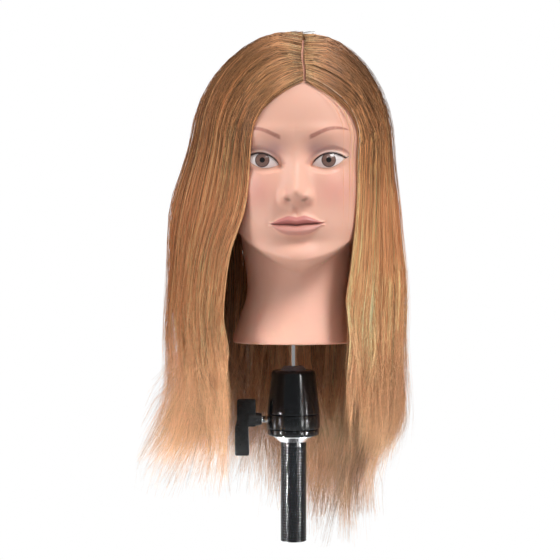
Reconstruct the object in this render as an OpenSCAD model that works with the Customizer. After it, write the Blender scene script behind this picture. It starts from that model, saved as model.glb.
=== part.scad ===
// Mannequin training head with long hair, on its tilting holder and the top of the post that carries it.
// Millimetres, +Z up. The face looks along -Y, and +X is at the right of someone who looks at the face.
// The origin is the middle of the post's foot.

/* [Post] */
// Outside diameter of the ribbed post
post_d = 25; // [22:0.5:28]
// Wall of the post tube
post_wall = 2; // [1.5:0.1:3]
// Length of post that shows below the collar
post_show = 95.5; // [70:0.5:130]
// Distance from one rib to the next
rib_pitch = 2.6; // [1.6:0.1:3]
// Depth of the groove between two ribs
rib_depth = 0.5; // [0.2:0.1:0.8]
// Smooth length at each end of the ribbed stretch
rib_end = 1.5; // [1:0.5:6]
// Length of the plug in each end of the post
plug_h = 20; // [12:1:30]
// Shank diameter of the bolt that holds the base cup on the post
bolt_d = 8; // [6:0.5:9]
// Head diameter of that countersunk bolt
bolt_head_d = 15; // [12:0.5:17]

/* [Collar and base] */
// Height of the bright collar under the housing
collar_h = 6; // [4:0.5:10]
// Upper diameter of the collar
collar_d = 40; // [36:0.5:46]
// How far the collar's lower edge stands out from the post
collar_lip = 1.5; // [0.5:0.1:3]
// Height of the base cup
base_h = 6.5; // [5.5:0.5:10]
// Diameter of the base cup
base_d = 49.6; // [46:0.2:52]
// Rounding of the base cup's lower edge
base_round = 2; // [0.5:0.5:2.5]
// Depth of the post's seat in the base cup
seat_depth = 3.5; // [2:0.5:4]
// Height of the threaded spigots that join base cup, ring and cone
spigot_h = 2.5; // [1.5:0.5:3]

/* [Housing] */
// Height of the clamp ring
ring_h = 14; // [13:0.5:18]
// Diameter of the clamp ring
ring_d = 51; // [50:0.5:56]
// Outside diameter at the top of the cone
cone_top_d = 42.4; // [41:0.2:48]
// Rounding of the cone's upper edge
cone_round = 4; // [2:0.5:5]
// Thickness of the lip that holds the ball down
lip_t = 0.6; // [0.4:0.1:2]
// Width of the groove where two housing pieces meet
seam_w = 0.8; // [0.4:0.1:1.2]

/* [Ball joint] */
// Diameter of the swivel ball
ball_d = 27; // [25:0.5:30]
// Height of the ball's centre above the cone's lower edge
ball_up = 33.9; // [28:0.1:36]
// Wall of the bush round the ball
bush_t = 1.55; // [1.2:0.05:1.8]
// Tilt of each of the joint's two axes, either way, in degrees
tilt = 15; // [8:1:15]
// Play left at the lips when the joint is fully tilted, in degrees
tilt_spare = 3; // [2.5:0.5:4]
// How far the housing's mouth lies beyond the rod at full tilt, in degrees
mouth_spare = 15.2; // [4:0.2:18]
// Diameter of the rod that carries the head
rod_d = 10; // [8:0.5:11]
// Depth of the rod in the ball
rod_sink = 11; // [8:0.5:13]
// Length of the rod in the neck socket
rod_grip = 84; // [60:1:100]
// Diameter of the cross pin in the ball
pin_d = 3; // [2:0.5:4]

/* [Clamp] */
// Diameter of the clamp screw
screw_d = 7; // [6:0.5:8]
// Height of the screw above the ring's lower edge
screw_up = 8.9; // [8.5:0.1:9.4]
// Wall of the threaded insert
insert_t = 1; // [0.6:0.1:1.4]
// Diameter of the plunger's stem
stem_d = 22; // [20:0.5:24]
// Depth of the wedge groove in the stem
wedge_depth = 4; // [3.5:0.1:4.5]
// Travel of the plunger when the clamp is let go
let_go = 1.2; // [0.8:0.1:1.5]
// Distance from the post's axis to the near end of the lever's hub
hub_near = 30.4; // [29:0.2:36]
// Length of the lever's hub
hub_l = 12; // [9:0.5:16]
// Diameter of the hub's near end
hub_d = 11; // [10:0.5:13]
// Diameter of the hub's far end
hub_far_d = 15; // [13:0.5:17]
// Thickness of the lever's blade
blade_t = 10; // [6:0.5:12]
// Width of the lever's long arm
arm_w = 13.8; // [10:0.2:16]
// Reach of the long arm below the screw
arm_l = 35; // [25:0.5:38]
// Width of the lever's thumb tab
tab_w = 18; // [14:0.5:20]
// Reach of the thumb tab above the screw
tab_l = 19; // [14:0.5:24]
// How far the long arm is set out beyond the thumb tab
arm_out = 2; // [0:0.5:4]
// Rounding of the blade's corners
blade_round = 2; // [1:0.5:3]
// Diameter of the pin that fixes the lever on the screw
lever_pin_d = 2.5; // [2:0.5:3]

/* [Head] */
// Gap between the housing and the neck's lower edge
neck_gap = 26.5; // [24:0.5:50]
// Diameter of the neck's lower edge
neck_d = 117; // [108:1:126]
// Diameter of the neck's narrowest place
throat_d = 97; // [88:1:104]
// Height of that place above the neck's lower edge
throat_h = 45; // [38:1:50]
// Height from the neck's lower edge to the crown
head_h = 291; // [286:1:300]
// Width of the skull
head_w = 146; // [138:1:152]
// Distance from the post's axis to the brow
face_out = 88; // [84:1:92]
// Distance from the post's axis to the back of the skull
head_back = 97; // [92:1:100]
// Height of the underside of the chin
chin_h = 71; // [69:1:74]
// How far the jaw's edge rises from the chin to below the ear
jaw_rise = 44; // [40:1:47]
// Height over which the chin runs into the neck
jaw_soft = 13; // [10:0.5:15]
// Height of the line between the lips
mouth_h = 110; // [107:1:113]
// Height of the nose's lower edge
nose_h = 128; // [125:1:131]
// Height of the eyes' middle
eye_h = 169; // [166:1:172]
// Height of the brows
brow_h = 194; // [191:1:197]
// Height of the hairline over the forehead
hairline_h = 240; // [237:1:243]
// How far the scalp's seam falls from the forehead to the nape
seam_drop = 125; // [110:1:135]
// Distance of each eye's middle from the middle of the face
eye_x = 30.5; // [28:0.5:33]
// Length of an eye's opening
eye_l = 31; // [27:0.5:33]
// Height of an eye's opening
eye_open = 13; // [10:0.5:15]
// How far a nose of the usual length stands out
nose_out = 19; // [15:0.5:22]
// The usual length of a nose
nose_l = 46; // [42:0.5:50]
// Depth of the eye sockets
socket_depth = 5; // [3:0.5:5.5]
// Wall of the neck
neck_wall = 4; // [3:0.5:5]
// Wall behind the face
face_wall = 9; // [8:0.5:11]
// Shift of the head to one side of the post's axis
head_shift = 4.5; // [0:0.5:6]
// Turn of the face to one side, in degrees
face_turn = -1.6; // [-4:0.2:4]

/* [Neck fittings] */
// Thickness of the plate that closes the neck
plate_t = 5; // [4:0.5:7]
// How far the plate sits above the neck's lower edge
plate_in = 2; // [1:0.5:4]
// Outside diameter of the neck socket
socket_d = 26; // [22:0.5:32]
// Diameter of the socket's flange
flange_d = 44; // [38:1:52]
// Thickness of the socket's flange
flange_t = 3; // [2:0.5:5]
// Wall over the blind end of the socket
socket_end = 5; // [3:0.5:8]
// Shank diameter of the plate's screws
plate_screw_d = 4; // [3:0.5:5]
// Length of the plate's screws
plate_screw_l = 26; // [20:1:34]
// Distance of the plate's screws from the axis
plate_screw_r = 36; // [32:1:40]

/* [Hair] */
// Distance from the axis to the hair's outside at the left ear
hair_left_w = 118.5; // [115:0.5:123]
// Distance from the axis to the hair's outside at the right ear
hair_right_w = 110; // [107:0.5:114]
// Distance from the axis to the hair's outside behind
hair_back_w = 106; // [103:1:114]
// Distance from the axis to the hair's outside beside the face
hair_front_w = 92; // [88:1:96]
// Reach of the longest tips below the neck's edge
hair_l = 184; // [178:1:188]
// Thickness of the hanging hair
hair_t = 22; // [14:1:26]
// Least thickness of the hair
hair_min = 5; // [4:0.5:6]
// Hair above the crown
hair_over = 7; // [5:0.5:10]
// Clear radius round the holder inside the hanging hair
hang_r = 84; // [80:1:88]
// How far the longest hair closes in below the clamp lever
hang_in = 12; // [8:1:13]
// Angle over which the hair grows from its front edge to its full reach, in degrees
front_fade = 36; // [28:1:42]
// Depth of the parting
parting_depth = 3; // [1:0.5:4]
// Room between the hair and the skin
hair_gap = 0.8; // [0.7:0.1:1]
// More room along the hairline
hair_lift = 2.6; // [2.2:0.1:3]
// Height at which the hair comes to lie on the head
hang_h = 150; // [140:1:155]

/* [Fits] */
// Radial clearance of a turning or sliding fit
run_gap = 0.05; // [0.03:0.01:0.1]
// Clearance between pieces that are set into each other
set_gap = 0.15; // [0.1:0.01:0.3]

/* [Hidden] */
$fn = 96;
cut = 1;                                  // how far a cutting shape runs past the face it opens

// Heights of the holder, stacked up from the foot of the post
collar_z = post_show;
base_z = collar_z + collar_h;
ring_z = base_z + base_h;
cone_z = ring_z + ring_h;
ball_z = cone_z + ball_up;
screw_z = ring_z + screw_up;
post_top = base_z + seat_depth;
post_seat_r = post_d / 2 - 0.2;            // the post is turned down a little where collar and cup sit on it

// Ball joint: ball, bush and seat are spheres about one centre
ball_r = ball_d / 2;
bush_in = ball_r + run_gap;
bush_out = bush_in + bush_t;
seat_r = bush_out + run_gap;
rod_r = rod_d / 2;
rod_angle = asin(rod_r / ball_r);
tilt_both = acos(cos(tilt) * cos(tilt));
bush_mouth = rod_angle + tilt + tilt_spare;
cone_mouth = rod_angle + tilt_both + mouth_spare;
bush_foot = 40;                           // angle of the bush's lower opening, from straight down
mouth_r = seat_r * sin(cone_mouth);
lip_z = ball_z + seat_r * cos(cone_mouth);
cone_top = lip_z + lip_t;

// Clamp: the screw's conical tip wedges the plunger up under the bush
stem_r = stem_d / 2;
wedge_up = 0.4;                           // the groove's middle lies this far above the screw
tip_nose_r = 1;
tip_r = screw_d / 2 - 0.3;
tip_cone = tip_r - tip_nose_r;
tip_near = stem_r - wedge_depth + tip_nose_r - wedge_up + 2 * run_gap;
tip_body = 1.6;
tip_far = tip_near + tip_cone + tip_body;
pintle_r = screw_d / 2 - 1.6;
pintle_l = 3.5;
insert_r = screw_d / 2 + run_gap + insert_t;
plunger_low = ring_z + spigot_h + run_gap;
plunger_head_z = cone_z + let_go + 0.8;
plunger_top = ball_z - 7;
tab_near = hub_near + hub_l / 2;
tab_far = tab_near + tab_w;
arm_far = tab_far + arm_out;
arm_near = arm_far - arm_w;
screw_end = tab_near + hub_l * 0.7;

// Head: heights are measured from the neck's lower edge
neck_z = cone_top + neck_gap;
plate_z = neck_z + plate_in;
socket_z = plate_z;
rod_top = socket_z + rod_grip;
bore_top = rod_top + 2 * set_gap;
dome_h = 205;
dome_power = 2.2;
oval_power = 2.3;
socket_top = bore_top + socket_end;
core_low = plate_in + plate_t + flange_t + 2 * set_gap;

// Hair: heights are measured from the neck's lower edge, angles from the front, positive to the right
hair_dome_h = 185;
hair_top = head_h + hair_over;
hang_low = neck_z - screw_z + arm_l - 9;  // below this depth the hair hangs under the clamp lever
split_left = -125;
split_right = 125;
hair_rows = 18;
hair_dome_rows = 15;
parting_a = 0.25;                         // half the angle between the hair at both sides of the parting

// Shares of the skull's width and back, by shares of the dome's height, and of its front, by height
width_line = [[0.22, 0.62], [0.366, 0.72], [0.488, 0.83], [0.61, 0.905], [0.732, 0.955], [0.854, 0.985],
    [1, 1]];
front_line = [[0.22 * dome_h, 0.88], [chin_h + 2, 0.948], [mouth_h - 16, 0.918], [mouth_h, 0.962],
    [nose_h, 0.948], [(nose_h + eye_h) / 2, 0.933], [eye_h, 0.928], [brow_h, 0.997], [dome_h, 1]];
back_line = [[0.22, 0.5], [0.366, 0.56], [0.537, 0.66], [0.683, 0.82], [0.829, 0.95], [1, 1]];
// Radius of the neck, by shares of the throat's height
neck_line = [[0, neck_d / 2], [0.178, neck_d / 2 - 1], [0.489, (neck_d + 0.9 * throat_d) / 3.82],
    [1, throat_d / 2], [1.444, throat_d / 2 + 1], [2, throat_d / 2 + 5], [2.778, throat_d / 2 + 9]];

// Shares of the hair's reach, by shares of its dome's height
left_share = [[-0.676, 1.17], [-0.595, 1.12], [-0.514, 1], [-0.432, 0.97], [-0.297, 0.965], [-0.108, 0.985],
    [0.065, 1.02], [0.378, 1.03], [0.686, 1.02], [0.768, 0.99], [0.843, 0.945], [0.924, 0.9], [1, 0.855]];
right_share = [[-0.973, 0.46], [-0.876, 0.51], [-0.8, 0.55], [-0.719, 0.6], [-0.643, 0.68], [-0.562, 0.79],
    [-0.486, 0.89], [-0.405, 0.945], [-0.297, 0.96], [0.065, 0.96], [0.222, 0.95], [0.53, 0.89],
    [0.686, 0.87], [0.843, 0.835], [1, 0.8]];
back_share = [[-0.973, 0.91], [-0.541, 0.94], [0, 0.98], [0.541, 0.97], [0.757, 1], [1, 1.035]];
front_share = [[-0.541, 0.94], [0.324, 0.96], [0.541, 1], [0.757, 1.02], [1, 1.055]];
// Angle from the middle of the face to the hair's front edge, by shares of the hairline's height
left_edge = [[-0.542, 45], [-0.233, 46], [0, 47], [0.171, 48], [0.383, 42], [0.442, 38], [0.554, 35],
    [0.708, 32.5], [0.825, 27.5], [0.921, 20], [1.004, 0], [1.2, 0]];
right_edge = [[-0.75, 40], [-0.233, 38], [0, 34], [0.171, 32], [0.325, 34], [0.404, 37], [0.554, 41],
    [0.708, 41], [0.825, 38], [0.921, 31], [1.004, 0], [1.2, 0]];
// Shares of the hair's length below the neck's edge, by angle
tip_line = [[-180, 0.859], [-165, 0.837], [-150, 0.652], [-120, 0.63], [-90, 0.652], [-60, 0.674], [-36, 0.685],
    [0, 0.641], [40, 0.522], [60, 0.56], [80, 0.576], [95, 0.609], [110, 0.663], [122, 0.804], [135, 1],
    [150, 0.978], [165, 0.924], [180, 0.859]];

// Curves

// Eases from 0 to 1
function ease(t) = let(u = max(0, min(1, t))) u * u * (3 - 2 * u);

// A bump of height 1 that falls off over w
function bump(x, w) = exp(-(x / w) * (x / w));

function slope(t, i) =
    let(a = max(0, i - 1), b = min(len(t) - 1, i + 1)) (t[b][1] - t[a][1]) / (t[b][0] - t[a][0]);

function last_below(t, x) = max([for (i = [0 : len(t) - 2]) if (t[i][0] <= x || i == 0) i]);

// A smooth curve through the points of t, read at x
function curve(t, x0) =
    let(x = max(t[0][0], min(t[len(t) - 1][0], x0)), i = last_below(t, x), w = t[i + 1][0] - t[i][0],
        u = (x - t[i][0]) / w)
    (2 * u ^ 3 - 3 * u ^ 2 + 1) * t[i][1] + (u ^ 3 - 2 * u ^ 2 + u) * w * slope(t, i)
    + (3 * u ^ 2 - 2 * u ^ 3) * t[i + 1][1] + (u ^ 3 - u ^ 2) * w * slope(t, i + 1);

// Radius at angle a of an oval that reaches right, left, front and back by these amounts
function oval(a, right, left, front, back) =
    let(s = abs(sin(a)) / (sin(a) > 0 ? right : left), c = abs(cos(a)) / (cos(a) > 0 ? front : back))
    (s ^ oval_power + c ^ oval_power) ^ (-1 / oval_power);

// Head shape

function skull_r(a, h) =
    let(k = min(h, dome_h), s = k / dome_h, w = curve(width_line, s) * head_w / 2,
        f = curve(front_line, k) * face_out, b = curve(back_line, s) * head_back,
        d = h <= dome_h ? 1 : max(0, 1 - ((h - dome_h) / (head_h - dome_h)) ^ dome_power) ^ 0.5)
    oval(a, w, w, f, b) * d;

// Height where the neck runs into the jaw, which rises from the chin to the nape
function jaw_h(a) = chin_h + jaw_rise * (1 - cos(a)) ^ 0.62;

function jaw_blend(a) = jaw_soft * (1 + 1.15 * (1 - cos(a)));

function smooth_r(a, h) =
    let(k = ease((h - jaw_h(a)) / jaw_blend(a) + 0.5))
    curve(neck_line, h / throat_h) * (1 - k) + skull_r(a, h) * k;

nose_tip_h = nose_h + 9;
nose_root_h = eye_h + 5;
// A longer nose stands out further
nose_reach = nose_out * (nose_root_h - nose_h) / nose_l;
function nose(x, h) =
    let(up = ease((nose_root_h - h) / (nose_root_h - nose_tip_h)),
        down = ease((h - nose_h + 6) / (nose_tip_h - nose_h + 6)))
    nose_reach * (h > nose_tip_h ? up ^ 1.2 : down) * bump(x, 5.5 + 4 * up);

function lips(x, h) =
    4.5 * bump(x, 17) * bump(h - mouth_h - 5, 4.2) + 5 * bump(x, 15) * bump(h - mouth_h + 6.5, 4.8)
    - 2.5 * bump(x, 22) * bump(h - mouth_h, 2.2);

// What the face adds to the smooth head, x to the side of the middle of the face
function face_form(x, h) =
    nose(x, h) + lips(x, h)
    + 6 * bump(abs(x) - 11, 5) * bump(h - nose_h - 4, 5.5)
    - socket_depth * bump(abs(x) - eye_x, 15) * bump(h - eye_h, 10)
    + 2 * bump(abs(x) - eye_x + 4, 20) * bump(h - brow_h, 8)
    + 3 * bump(abs(x) - eye_x - 8, 16) * bump(h - nose_h - 17, 18)
    + 4 * bump(x, 15) * bump(h - chin_h - 9, 9) - 2.5 * bump(x, 20) * bump(h - mouth_h + 16, 5);

function ear(a, h, spread = 1) = 8 * bump(abs(a) - 97, 9 * spread) * bump(h - eye_h + 8, 22 * spread);

function skin_r(a, h) =
    let(r = smooth_r(a, h)) r + ear(a, h) + (abs(a) < 89 ? face_form(r * sin(a - face_turn), h) : 0);

function centre_x(h) = head_shift * ease(h / chin_h);

function at(a, r, h) = [centre_x(h) + r * sin(a), -r * cos(a), neck_z + h];

// A point moved in from the skin by t, level below the dome and towards the dome's middle above it
function inset(p, t) =
    let(c = [centre_x(p[2] - neck_z), 0, min(p[2], neck_z + dome_h)], d = p - c) p - d * (t / norm(d));

// Wall of the head at a height, thin in the neck and thick behind the face
function wall(h) = neck_wall + (face_wall - neck_wall) * ease((h - throat_h) / 40);

// Height of the seam between face and scalp, high over the forehead and low at the nape
function seam_h(a) = hairline_h - seam_drop * ease((abs(a) - 35) / 115);

// Columns round the head, close together over the face
face_columns = [for (i = [-16 : 15]) i * 4.5];
head_columns = concat(face_columns, [for (i = [0 : 19]) 72 + i * 10.8]);
side_angle = function(a) a > 180 ? a - 360 : a;

// Shares of the height from the neck's edge to the seam: close together over the face
face_rows = concat([for (i = [0 : 7]) i * 0.036], [for (i = [0 : 38]) 0.288 + i * 0.712 / 38]);
back_rows = [for (i = [0 : 14]) i / 14];
scalp_rows = [for (i = [0 : 8]) sin(i * 10.9)];

function outer_skin(s) =
    [for (a0 = head_columns) let(a = side_angle(a0), h = seam_h(a) * s) at(a, skin_r(a, h), h)];
function inner_skin(s, more = 0) =
    [for (a0 = head_columns) let(a = side_angle(a0), h = seam_h(a) * s)
        inset(at(a, smooth_r(a, h), h), wall(h) + more)];
function scalp_ring(s, t) =
    [for (a0 = head_columns)
        let(a = side_angle(a0), g = seam_h(a) + run_gap, h = g + (head_h - g) * s)
        t == 0 ? at(a, skin_r(a, h), h) : inset(at(a, smooth_r(a, h), h), t)];

// Closed meshes

function flat(rings) = [for (r = rings) for (p = r) p];

// Triangles between two rows of n points that start at i and j. A closed row runs round to its start
function band(i, j, n, closed) =
    [for (k = [0 : n - (closed ? 1 : 2)])
        let(a = i + k, b = i + (k + 1) % n, c = j + (k + 1) % n, d = j + k) each [[a, d, c], [a, c, b]]];

// A ring-shaped skin: rows of points run round, each row to the next, and the last row back to the first
module ring_skin(rows) {
    n = len(rows[0]);
    m = len(rows);
    polyhedron(flat(rows), [for (i = [0 : m - 1]) each band(i * n, ((i + 1) % m) * n, n, true)]);
}

// A solid stack of closed rows with a flat foot and a top that comes to a point
module stack(rows, top) {
    n = len(rows[0]);
    m = len(rows);
    low = [for (p = rows[0]) 1] * rows[0] / n;
    polyhedron(concat(flat(rows), [low, top]),
        concat([for (i = [0 : m - 2], k = [0 : n - 1])
                let(a = i * n + k, b = i * n + (k + 1) % n) each [[a, a + n, b], [a + n, b + n, b]]],
            [for (k = [0 : n - 1]) [m * n, k, (k + 1) % n]],
            [for (k = [0 : n - 1]) [m * n + 1, (m - 1) * n + (k + 1) % n, (m - 1) * n + k]]));
}

// A curved slab between two grids of points of the same size: front faces out, back faces in
module slab(front, back) {
    n = len(front[0]);
    m = len(front);
    b = n * m;
    polyhedron(concat(flat(front), flat(back)),
        concat([for (i = [0 : m - 2]) each band(i * n, (i + 1) * n, n, false)],
            [for (i = [0 : m - 2]) each band(b + (i + 1) * n, b + i * n, n, false)],
            band(b, 0, n, false), band((m - 1) * n, b + (m - 1) * n, n, false),
            [for (i = [0 : m - 2])
                let(p = i * n, q = p + n) each [[p, b + p, b + q], [p, b + q, q]]],
            [for (i = [0 : m - 2])
                let(p = i * n + n - 1, q = p + n) each [[b + p, p, q], [b + p, q, b + q]]]));
}

// Post

rib_n = floor((post_show - 2 * rib_end) / rib_pitch);

module post_tube() {
    r = post_d / 2;
    outside = [for (i = [0 : rib_n - 1]) let(z = rib_end + i * rib_pitch)
        each [[r, z], [r - rib_depth, z + rib_depth], [r, z + 2 * rib_depth]]];
    color("#17191d")
    rotate_extrude()
    polygon(concat([[r - post_wall, 0], [r, 0]], outside,
        [[r, post_show], [post_seat_r, post_show], [post_seat_r, post_top], [r - post_wall, post_top]]));
}

plug_r = post_d / 2 - post_wall - run_gap;

module post_end_plug() {
    color("#202225") cylinder(h = plug_h, r = plug_r);
}

bolt_head_h = (bolt_head_d - bolt_d) / 2;
bolt_low = post_top - plug_h + 2;

module post_top_plug() {
    color("#b9bcc0")
    difference() {
        translate([0, 0, post_top - plug_h]) cylinder(h = plug_h - set_gap, r = plug_r);
        translate([0, 0, bolt_low - set_gap]) cylinder(h = plug_h + cut, d = bolt_d + 2 * run_gap);
        bolt_shape(run_gap);
    }
}

module bolt_shape(gap) {
    translate([0, 0, bolt_low]) cylinder(h = ring_z - bolt_low, d = bolt_d + 2 * gap);
    translate([0, 0, ring_z - bolt_head_h])
    cylinder(h = bolt_head_h, d1 = bolt_d + 2 * gap, d2 = bolt_head_d + 2 * gap);
}

module post_bolt() {
    color("#9a9da3") bolt_shape(0);
}

// Collar, base cup, ring and cone

module lock_collar() {
    hole = post_seat_r + run_gap;
    low = post_d / 2 + collar_lip;
    color("#d9dadd")
    rotate_extrude()
    polygon([[hole, collar_z], [low, collar_z], [low + 0.6, collar_z + 0.6], [collar_d / 2 - 1, base_z - 1.8],
        [collar_d / 2, base_z - 1], [collar_d / 2, base_z], [hole, base_z]]);
}

base_spigot_r = stem_r + 6;

module base_cup() {
    r = base_d / 2;
    color("#121417")
    difference() {
        rotate_extrude()
        polygon(concat([[0, base_z]], [for (i = [0 : 6]) let(a = i * 15)
                [r - base_round + base_round * sin(a), base_z + base_round - base_round * cos(a)]],
            [[r, ring_z - seam_w], [r - seam_w, ring_z], [base_spigot_r, ring_z],
                [base_spigot_r, ring_z + spigot_h - 2 * run_gap],
                [stem_r + 1, ring_z + spigot_h - 2 * run_gap], [stem_r + 1, ring_z], [0, ring_z]]));
        translate([0, 0, base_z - cut]) cylinder(h = seat_depth + cut, r = post_seat_r + run_gap);
        bolt_shape(run_gap);
        translate([0, 0, ring_z]) cylinder(h = cut, d = bolt_head_d + 2 * run_gap);
    }
}

cone_spigot_r = (seat_r + ring_d / 2) / 2;

module clamp_ring() {
    r = ring_d / 2;
    color("#121417")
    difference() {
        rotate_extrude()
        polygon([[stem_r + set_gap, ring_z + spigot_h], [base_spigot_r + run_gap, ring_z + spigot_h],
            [base_spigot_r + run_gap, ring_z], [r - seam_w, ring_z], [r, ring_z + seam_w],
            [r, cone_z - seam_w], [r - seam_w, cone_z], [cone_spigot_r, cone_z],
            [cone_spigot_r, cone_z + spigot_h - 2 * run_gap], [seat_r + 0.4, cone_z + spigot_h - 2 * run_gap],
            [seat_r + 0.4, cone_z], [stem_r + set_gap, cone_z]]);
        translate([0, 0, screw_z]) rotate([0, -90, 0]) cylinder(h = ring_d, r = insert_r + run_gap);
    }
}

module housing_cone() {
    low_r = ring_d / 2;
    top_r = cone_top_d / 2;
    color("#121417")
    difference() {
        rotate_extrude()
        polygon(concat([[0, cone_z], [low_r - seam_w, cone_z], [low_r, cone_z + seam_w]],
            [for (i = [0 : 8]) let(a = i * 11.25)
                [top_r - cone_round * (1 - cos(a)), cone_top - cone_round * (1 - sin(a))]], [[0, cone_top]]));
        translate([0, 0, ball_z]) sphere(r = seat_r);
        translate([0, 0, cone_z - cut]) cylinder(h = ball_up + cut, r = seat_r);
        translate([0, 0, cone_z - cut]) cylinder(h = spigot_h + cut, r = cone_spigot_r + run_gap);
        translate([0, 0, ball_z]) cylinder(h = seat_r, r = mouth_r);
        translate([0, 0, lip_z]) cylinder(h = lip_t + 0.01, r1 = mouth_r, r2 = mouth_r + lip_t);
    }
}

// Clamp

module from_axis(distance) {
    translate([-distance, 0, screw_z]) rotate([0, -90, 0]) children();
}

insert_near = stem_r + 2 * set_gap;
insert_far = ring_d / 2 - 0.6;

module thread_insert() {
    color("#b08d3c")
    difference() {
        from_axis(insert_near) cylinder(h = insert_far - insert_near, r = insert_r);
        from_axis(insert_near - cut) cylinder(h = ring_d, d = screw_d + 2 * run_gap);
    }
}

module wedge_plunger() {
    mid = screw_z + wedge_up;
    low = mid - 2 * wedge_up - 2 * run_gap;
    color("#c9ccd1")
    difference() {
        rotate_extrude()
        polygon([[0, plunger_low + let_go], [stem_r, plunger_low + let_go], [stem_r, low - wedge_depth],
            [stem_r - wedge_depth, low], [stem_r - wedge_depth, mid], [stem_r, mid + wedge_depth],
            [stem_r, plunger_head_z], [seat_r - set_gap, plunger_head_z], [seat_r - set_gap, plunger_top],
            [0, plunger_top]]);
        translate([0, 0, ball_z]) sphere(r = seat_r);
    }
}

module screw_tip() {
    color("#b08d3c")
    union() {
        from_axis(tip_near) cylinder(h = tip_cone, r1 = tip_nose_r, r2 = tip_r);
        from_axis(tip_near + tip_cone) cylinder(h = tip_body, r = tip_r);
        from_axis(tip_far) cylinder(h = pintle_l, r = pintle_r);
    }
}

module clamp_screw() {
    color("#d9dadd")
    difference() {
        from_axis(tip_far + run_gap) cylinder(h = screw_end - tip_far - run_gap, d = screw_d);
        from_axis(tip_far) cylinder(h = pintle_l + 2 * run_gap, r = pintle_r + run_gap);
        lever_pin_hole();
    }
}

pin_far = hub_near + hub_l * 0.45;

module lever_pin_hole() {
    translate([-pin_far, -ring_d / 2, screw_z]) rotate([-90, 0, 0])
    cylinder(h = ring_d, d = lever_pin_d + 2 * run_gap);
}

module lever_pin() {
    l = hub_d - 0.6;
    color("#8d9096")
    translate([-pin_far, -l / 2, screw_z]) rotate([-90, 0, 0]) cylinder(h = l, d = lever_pin_d);
}

// A rounded corner of an outline, turned from angle a0 to a1
function corner(x, y, r, a0, a1) =
    [for (i = [0 : 4]) let(a = a0 + (a1 - a0) * i / 4) [x + r * cos(a), y + r * sin(a)]];

module blade_outline() {
    r = blade_round;
    polygon(concat(
        [[arm_near + 1, -hub_far_d / 2 + 0.5]],
        corner(arm_near + r, -arm_l + r, r, 180, 270),
        corner(arm_far - r, -arm_l + r, r, 270, 360),
        [[arm_far, -hub_far_d / 2], [tab_far, 0]],
        corner(tab_far - r, tab_l - r, r, 0, 90),
        corner(tab_near + r, tab_l - r, r, 90, 180),
        [[tab_near, -hub_far_d / 2 + 0.5]]));
}

module clamp_lever() {
    color("#1a1c1f")
    difference() {
        union() {
            from_axis(hub_near) cylinder(h = hub_l, d1 = hub_d, d2 = hub_far_d);
            translate([0, blade_t / 2, screw_z]) rotate([90, 0, 0])
            linear_extrude(blade_t) mirror([1, 0]) blade_outline();
        }
        from_axis(hub_near - cut)
        cylinder(h = screw_end - hub_near + cut + set_gap, d = screw_d + 2 * run_gap);
        lever_pin_hole();
    }
}

// Ball joint

module ball_bush() {
    color("#3a3d42")
    translate([0, 0, ball_z])
    difference() {
        sphere(r = bush_out);
        sphere(r = bush_in);
        cylinder(h = 2 * ball_r, r = bush_in * sin(bush_mouth));
        mirror([0, 0, 1]) cylinder(h = 2 * ball_r, r = bush_in * sin(bush_foot));
    }
}

module ball_pin_hole(gap) {
    translate([0, -ball_r, ball_z - rod_sink / 2]) rotate([-90, 0, 0])
    cylinder(h = ball_d, d = pin_d + 2 * gap);
}

module swivel_ball() {
    color("#4a4d52")
    difference() {
        translate([0, 0, ball_z]) sphere(d = ball_d);
        translate([0, 0, ball_z - rod_sink]) cylinder(h = ball_d, d = rod_d + 2 * run_gap);
        ball_pin_hole(run_gap);
    }
}

module ball_pin() {
    l = ball_d * 0.8;
    color("#8d9096")
    translate([0, -l / 2, ball_z - rod_sink / 2]) rotate([-90, 0, 0]) cylinder(h = l, d = pin_d);
}

rod_chamfer = 1.2;

module spigot_rod() {
    low = ball_z - rod_sink + run_gap;
    color("#dfe1e4")
    difference() {
        union() {
            translate([0, 0, low]) cylinder(h = rod_top - rod_chamfer - low, d = rod_d);
            translate([0, 0, rod_top - rod_chamfer])
            cylinder(h = rod_chamfer, d1 = rod_d, d2 = rod_d - 2 * rod_chamfer);
        }
        ball_pin_hole(run_gap);
    }
}

// Neck fittings

module neck_socket() {
    color("#2b2d30")
    difference() {
        union() {
            translate([0, 0, socket_z]) cylinder(h = socket_top - socket_z, d = socket_d);
            translate([0, 0, plate_z + plate_t]) cylinder(h = flange_t, d = flange_d);
        }
        translate([0, 0, socket_z - cut]) cylinder(h = bore_top - socket_z + cut, d = rod_d + 2 * run_gap);
    }
}

// The plate lies inside the flat sides of the neck's inner wall
plate_r = (curve(neck_line, 1.5 * (plate_in + plate_t) / throat_h) - neck_wall) * cos(6) - set_gap;
screw_head_d = 2 * plate_screw_d;
screw_head_h = plate_screw_d / 2;

module at_plate_screws() {
    for (i = [0 : 2]) rotate(30 + i * 120) translate([plate_screw_r, 0, plate_z]) children();
}

module plate_screw(gap) {
    cylinder(h = plate_screw_l + gap, d = plate_screw_d + 2 * gap);
    cylinder(h = screw_head_h, d1 = screw_head_d + 2 * gap, d2 = plate_screw_d + 2 * gap);
}

module neck_plate() {
    color("#d9a58f")
    difference() {
        translate([0, 0, plate_z]) cylinder(h = plate_t, r = plate_r);
        translate([0, 0, plate_z - cut]) cylinder(h = plate_t + 2 * cut, d = socket_d + 2 * run_gap);
        at_plate_screws() plate_screw(run_gap);
    }
}

module plate_screws() {
    color("#b9bcc0") at_plate_screws() plate_screw(0);
}

// Head

core_gap = 0.8;

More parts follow.
